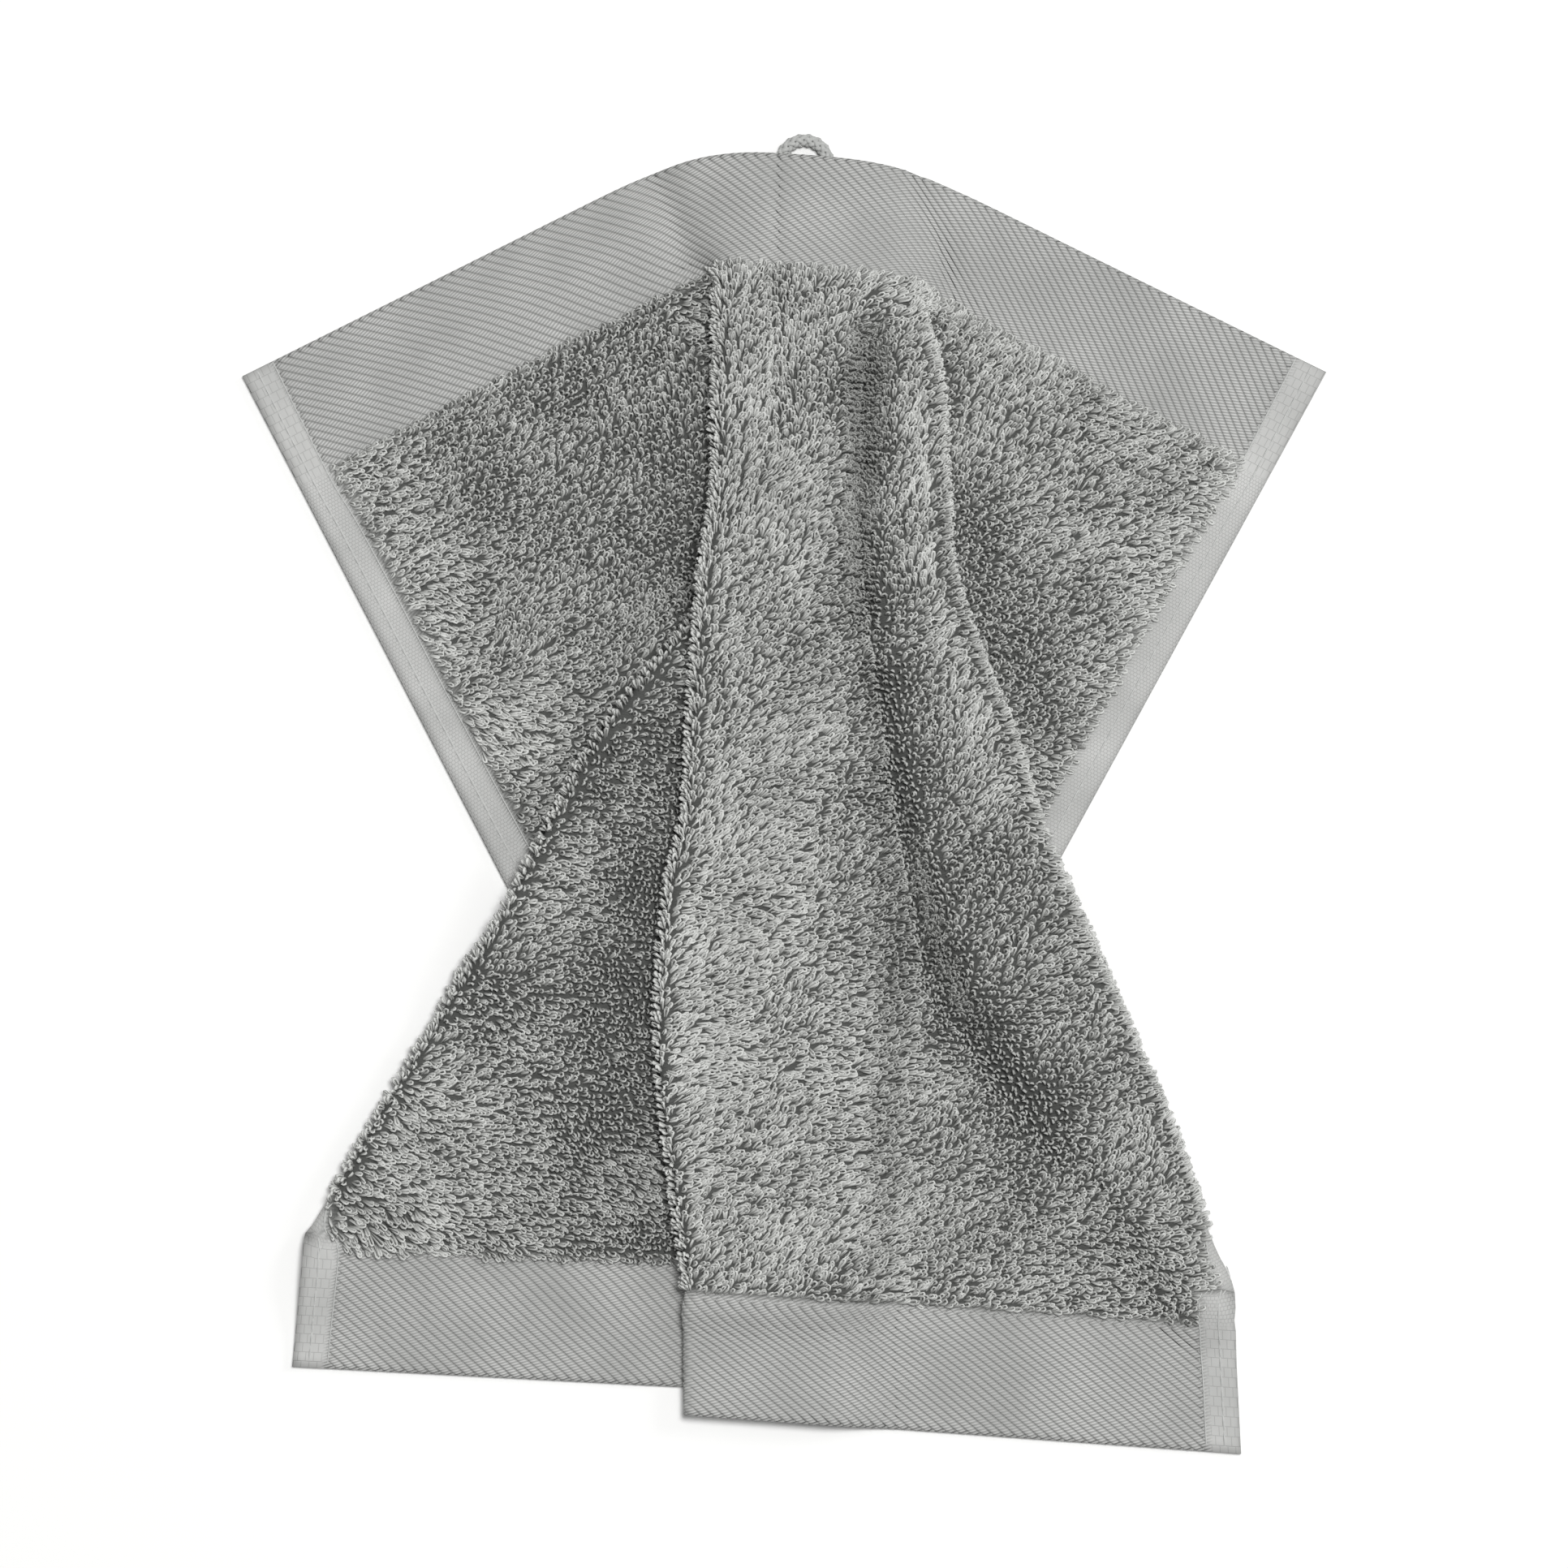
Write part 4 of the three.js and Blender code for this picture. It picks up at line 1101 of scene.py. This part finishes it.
lean += lean_drift * drift(root[:, :2], lean_drift_size) + rng.normal(0, lean_scatter, len(root))
heading = np.radians(heading)
lean_share = mix(steep_lean_share, 1, smooth(*lean_steepness, normal[:, 2]))
lean = np.radians(np.clip(lean, least_lean, most_lean)) * lean_share
facing_up = smooth(*size_steepness, normal[:, 2])

# On the slopes of a panel the loops stand more nearly upright than square to the slope. On the round of a
# fold they point outwards, and their colour there is made lighter as a painted highlight.
upright_pull = 0.75
pull_steepness = (0.75, 0.97)
fold_highlight_steepness = (0.3, 0.85)
block = np.searchsorted(block_starts - 0.5, column, "right")
on_fold = (block == 2) | (block == 4) | (block == 6)
pull = np.where(on_fold, 0, upright_pull * (1 - smooth(*pull_steepness, normal[:, 2])))[:, None]
standing = mix(normal, np.array([0, 0, 1.0]), pull)
standing /= np.linalg.norm(standing, axis=1, keepdims=True)
# Painted highlight: how much lighter a loop on the round of a fold is coloured, more as the fold turns from
# face up
fold_painted_highlight = np.where(on_fold, 1 - smooth(*fold_highlight_steepness, normal[:, 2]), 0)

# Each loop's own size, as shares with their scatter and limits. Loops on steep cloth are a little shorter and
# wider. A few at the bottom left have been tugged out long.
steep_length = 0.8
steep_width = 1.15
length_scatter = 0.12
length_limits = (0.7, 1.4)
width_scatter = 0.18
width_limits = (0.5, 1.7)
roll_scatter = 24
twist_scatter = 0.2
foot_bend = 0.6
head_bend = 0.5
head_angles = np.radians([-112, -37, 37, 112])
tug_place = [-99, -110]
tug_reach = 10
tug_length = 1.1

# A loop's tone is random within this. Painted light makes it lighter where it lies over further than the
# middle lean and on the round of a fold, and painted shade makes it darker where it stands on a slope
tone_scatter = 0.15
middle_lean = 40
lean_for_painted_light = 75
fold_highlight_tone = 0.6
slope_painted_shade = 0.45


def loops_mesh(name, chosen):
    """A mesh of the chosen loops, each a bent tube of yarn that starts and ends in the ground."""
    number = int(chosen.sum())
    up = standing[chosen]
    flat = np.stack([np.cos(heading[chosen]), np.sin(heading[chosen]), np.zeros(number)], -1)
    flat = flat - up * np.sum(flat * up, 1)[:, None]
    flat /= np.maximum(np.linalg.norm(flat, axis=1, keepdims=True), 1e-6)
    tilt = lean[chosen][:, None]
    axis = up * np.cos(tilt) + flat * np.sin(tilt)
    across = np.cross(flat, up)
    roll = np.radians(rng.normal(0, roll_scatter, number))[:, None]
    wide = across * np.cos(roll) + np.cross(axis, across) * np.sin(roll)
    thick = np.cross(axis, wide)
    size = loop_length * mix(steep_length, 1, facing_up[chosen])
    size = size * rng.normal(1, length_scatter, number).clip(*length_limits)
    breadth = loop_width / 2 * mix(steep_width, 1, facing_up[chosen])
    breadth = breadth * rng.normal(1, width_scatter, number).clip(*width_limits)
    tugged = np.exp(-((np.linalg.norm(root[chosen][:, :2] - tug_place, axis=1) / tug_reach) ** 2))
    size = size * (1 + tug_length * tugged * rng.uniform(0, 1, number))
    size, breadth = size[:, None, None], breadth[:, None, None]
    twist = rng.normal(0, twist_scatter, number)[:, None, None]
    head = head_angles[None, :, None]
    rise = 1 - breadth / size * (1 - np.cos(head))
    foot = np.zeros((number, 1, 1))
    rise = np.concatenate([foot, rise, foot], 1)
    side = np.concatenate([foot - foot_spread, breadth * np.sin(head), foot + foot_spread], 1)
    bend = tilt[:, None] * (foot_bend + head_bend * rise)
    centre = root[chosen][:, None] + normal[chosen][:, None] * (ground_thickness / 2 - root_depth)
    centre = centre + size * rise * (up[:, None] * np.cos(bend) + flat[:, None] * np.sin(bend))
    centre = centre + wide[:, None] * side
    centre = centre + thick[:, None] * twist * np.linspace(-1, 1, centre.shape[1])[:, None]
    along = np.gradient(centre, axis=1)
    along /= np.maximum(np.linalg.norm(along, axis=2, keepdims=True), 1e-9)
    inward = np.cross(np.broadcast_to(thick[:, None], along.shape), along)
    inward /= np.maximum(np.linalg.norm(inward, axis=2, keepdims=True), 1e-9)
    beside = np.cross(along, inward)
    around = 2 * math.pi * (np.arange(yarn_sides) / yarn_sides + 0.25)
    ring = inward[:, :, None] * np.cos(around)[:, None] + beside[:, :, None] * np.sin(around)[:, None]
    ring = centre[:, :, None] + ring * yarn_radius
    ring[..., 2] = np.maximum(ring[..., 2], yarn_clearance)
    per_loop = centre.shape[1] * yarn_sides
    quad = tube_quads(centre.shape[1], yarn_sides)
    quads = (np.arange(number)[:, None, None] * per_loop + quad).reshape(-1, 4)
    mesh = bpy.data.meshes.new(name)
    mesh.vertices.add(number * per_loop)
    mesh.vertices.foreach_set("co", (ring * MM).astype(np.float32).ravel())
    mesh.loops.add(quads.size)
    mesh.loops.foreach_set("vertex_index", quads.astype(np.int32).ravel())
    mesh.polygons.add(len(quads))
    mesh.polygons.foreach_set("loop_start", np.arange(0, quads.size, 4, dtype=np.int32))
    mesh.polygons.foreach_set("use_smooth", np.ones(len(quads), bool))
    mesh.update(calc_edges=True)
    tone = mesh.attributes.new("tone", "FLOAT", "POINT")
    # The tone attribute holds a random tone plus painted light and shade: lighter for loops that lie over and
    # on fold rounds, darker on slopes
    tone_and_painted_light = rng.uniform(-tone_scatter, tone_scatter, number)
    tone_and_painted_light = tone_and_painted_light + (np.degrees(lean[chosen]) - middle_lean) / lean_for_painted_light
    tone_and_painted_light = tone_and_painted_light + fold_highlight_tone * fold_painted_highlight[chosen] - slope_painted_shade * pull[chosen, 0]
    tone.data.foreach_set("value", np.repeat(tone_and_painted_light, per_loop).astype(np.float32))
    # Painted shade: the rise along the loop, from 0 at its feet, makes the colour darker down at the feet
    height = mesh.attributes.new("height", "FLOAT", "POINT")
    height.data.foreach_set("value", np.repeat(rise.ravel(), yarn_sides).astype(np.float32))
    mesh.materials.append(loop_yarn)
    return add_object(name, mesh)


# Loose carded cotton yarn is matt. Its colour is lighter on the loops' heads than down between their feet, as
# painted shade at the feet, and it carries the painted light and shade of each loop's tone.
loop_yarn, tree, shader = material("carded cotton yarn", 0.85)
tone_and_painted_light_node = add(tree, "ShaderNodeAttribute", attribute_name="tone")
painted_foot_shade_node = add(tree, "ShaderNodeAttribute", attribute_name="height")
shade = add(tree, "ShaderNodeMath", [(0, tone_and_painted_light_node.outputs["Fac"]), (1, painted_foot_shade_node.outputs["Fac"])])
ramp = add(tree, "ShaderNodeMapRange", [("Value", shade.outputs[0])], From_Min=0.0, From_Max=1.3)
colour = add(tree, "ShaderNodeMix", [("Factor", ramp.outputs["Result"])], data_type="RGBA")
colour.inputs[6].default_value = linear("#787976")
colour.inputs[7].default_value = linear("#d2d3d0")
tree.links.new(colour.outputs[2], shader.inputs["Base Color"])

# The pile is several meshes, one for each part of the cloth. That of the front is parted at two heights, and
# its lowest part once more from side to side.
upper_parting = 40
lower_parting = -30
side_parting = 32
on_front = panel_of == "front"
high = root[:, 1] > upper_parting
low = root[:, 1] <= lower_parting
to_right = root[:, 0] > side_parting
parts = {
    "pile_left_back": panel_of == "left back",
    "pile_left_front": panel_of == "left front",
    "pile_front_top": on_front & high,
    "pile_front_middle": on_front & ~high & ~low,
    "pile_front_right": on_front & low & to_right,
    "pile_front_bottom": on_front & low & ~to_right,
    "pile_right_back": panel_of == "right back",
}
for name, chosen in parts.items():
    pile = loops_mesh(name, chosen)
    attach(pile, "root")

# The hanging loop is a short length of round cord, plaited from eight soft cotton strands, four each way
# round. It is bent to an arch, and its two legs lie under the top hem, where they are sewn on.
loop_middle = np.array([4.8, 151.6, 1.75])
loop_radius = 5.7
loop_leg = 9
cord_radius = 1.7
core_radius = 0.85
strands = 8
strand_width = 0.6
strand_height = 0.4
plait_depth = 0.2
plait_turn = 8.4
strand_step = 0.4
strand_sides = 6
cord_length = 2 * loop_leg + math.pi * loop_radius


def along_cord(travelled):
    """Points on the middle of the cord and the directions out from its bend, at distances along it."""
    turned = np.clip(travelled - loop_leg, 0, math.pi * loop_radius) / loop_radius
    outward = np.stack([-np.cos(turned), np.sin(turned), np.zeros(len(turned))], -1)
    leg = np.minimum(travelled - loop_leg, 0) + np.minimum(cord_length - loop_leg - travelled, 0)
    return loop_middle + outward * loop_radius + leg[:, None] * np.array([0, 1, 0]), outward


travelled = np.linspace(0, cord_length, math.ceil(cord_length / strand_step) + 1)
cord_middle, outward = along_cord(travelled)
tubes = [(cord_middle, outward, np.broadcast_to([0.0, 0, 1], outward.shape), core_radius, core_radius)]
each_way = strands // 2
for strand in range(strands):
    way = 1 if strand < each_way else -1
    phase = 2 * math.pi * travelled / plait_turn
    angle = way * phase + 2 * math.pi / each_way * strand
    over = cord_radius - strand_height - plait_depth * (1 - way * np.cos(each_way * phase))
    radial = outward * np.cos(angle)[:, None] + np.array([0, 0, 1]) * np.sin(angle)[:, None]
    spine = cord_middle + radial * over[:, None]
    run = np.gradient(spine, axis=0)
    tubes.append((spine, radial, np.cross(run, radial), strand_height, strand_width))
around = 2 * math.pi * np.arange(strand_sides) / strand_sides
cord_corners = []
cord_faces = []
for spine, out_of, beside, high, wide in tubes:
    beside = beside / np.linalg.norm(beside, axis=1, keepdims=True)
    ring = spine[:, None] + out_of[:, None] * (high * np.cos(around))[:, None]
    ring = ring + beside[:, None] * (wide * np.sin(around))[:, None]
    cord_faces += tube_faces(len(spine), strand_sides, sum(map(len, cord_corners)))
    cord_corners.append(ring.reshape(-1, 3))
cord_mesh = bpy.data.meshes.new("braided_loop")
cord_mesh.from_pydata((np.concatenate(cord_corners) * MM).tolist(), [], cord_faces)
cord_mesh.polygons.foreach_set("use_smooth", [len(polygon.vertices) == 4 for polygon in cord_mesh.polygons])
braided_loop = add_object("braided_loop", cord_mesh)

# Soft spun cotton cord: the same grey as the cloth, matt, with a faint grain of fibres
cord_cotton, tree, shader = material("spun cotton cord", 0.9)
object_place = add(tree, "ShaderNodeTexCoord")
fibres_links = [("Vector", object_place.outputs["Object"])]
fibres = add(tree, "ShaderNodeTexNoise", fibres_links, Scale=1500.0, Detail=3.0)
tone = add(tree, "ShaderNodeMix", [("Factor", fibres.outputs["Fac"])], data_type="RGBA")
tone.inputs[6].default_value = linear("#9a9b99")
tone.inputs[7].default_value = linear("#bdbebc")
grain = add(tree, "ShaderNodeBump", [("Height", fibres.outputs["Fac"])], Strength=0.5, Distance=0.1 * MM)
tree.links.new(tone.outputs[2], shader.inputs["Base Color"])
tree.links.new(grain.outputs["Normal"], shader.inputs["Normal"])
cord_mesh.materials.append(cord_cotton)
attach(braided_loop, "root")
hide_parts("hanging_loop")
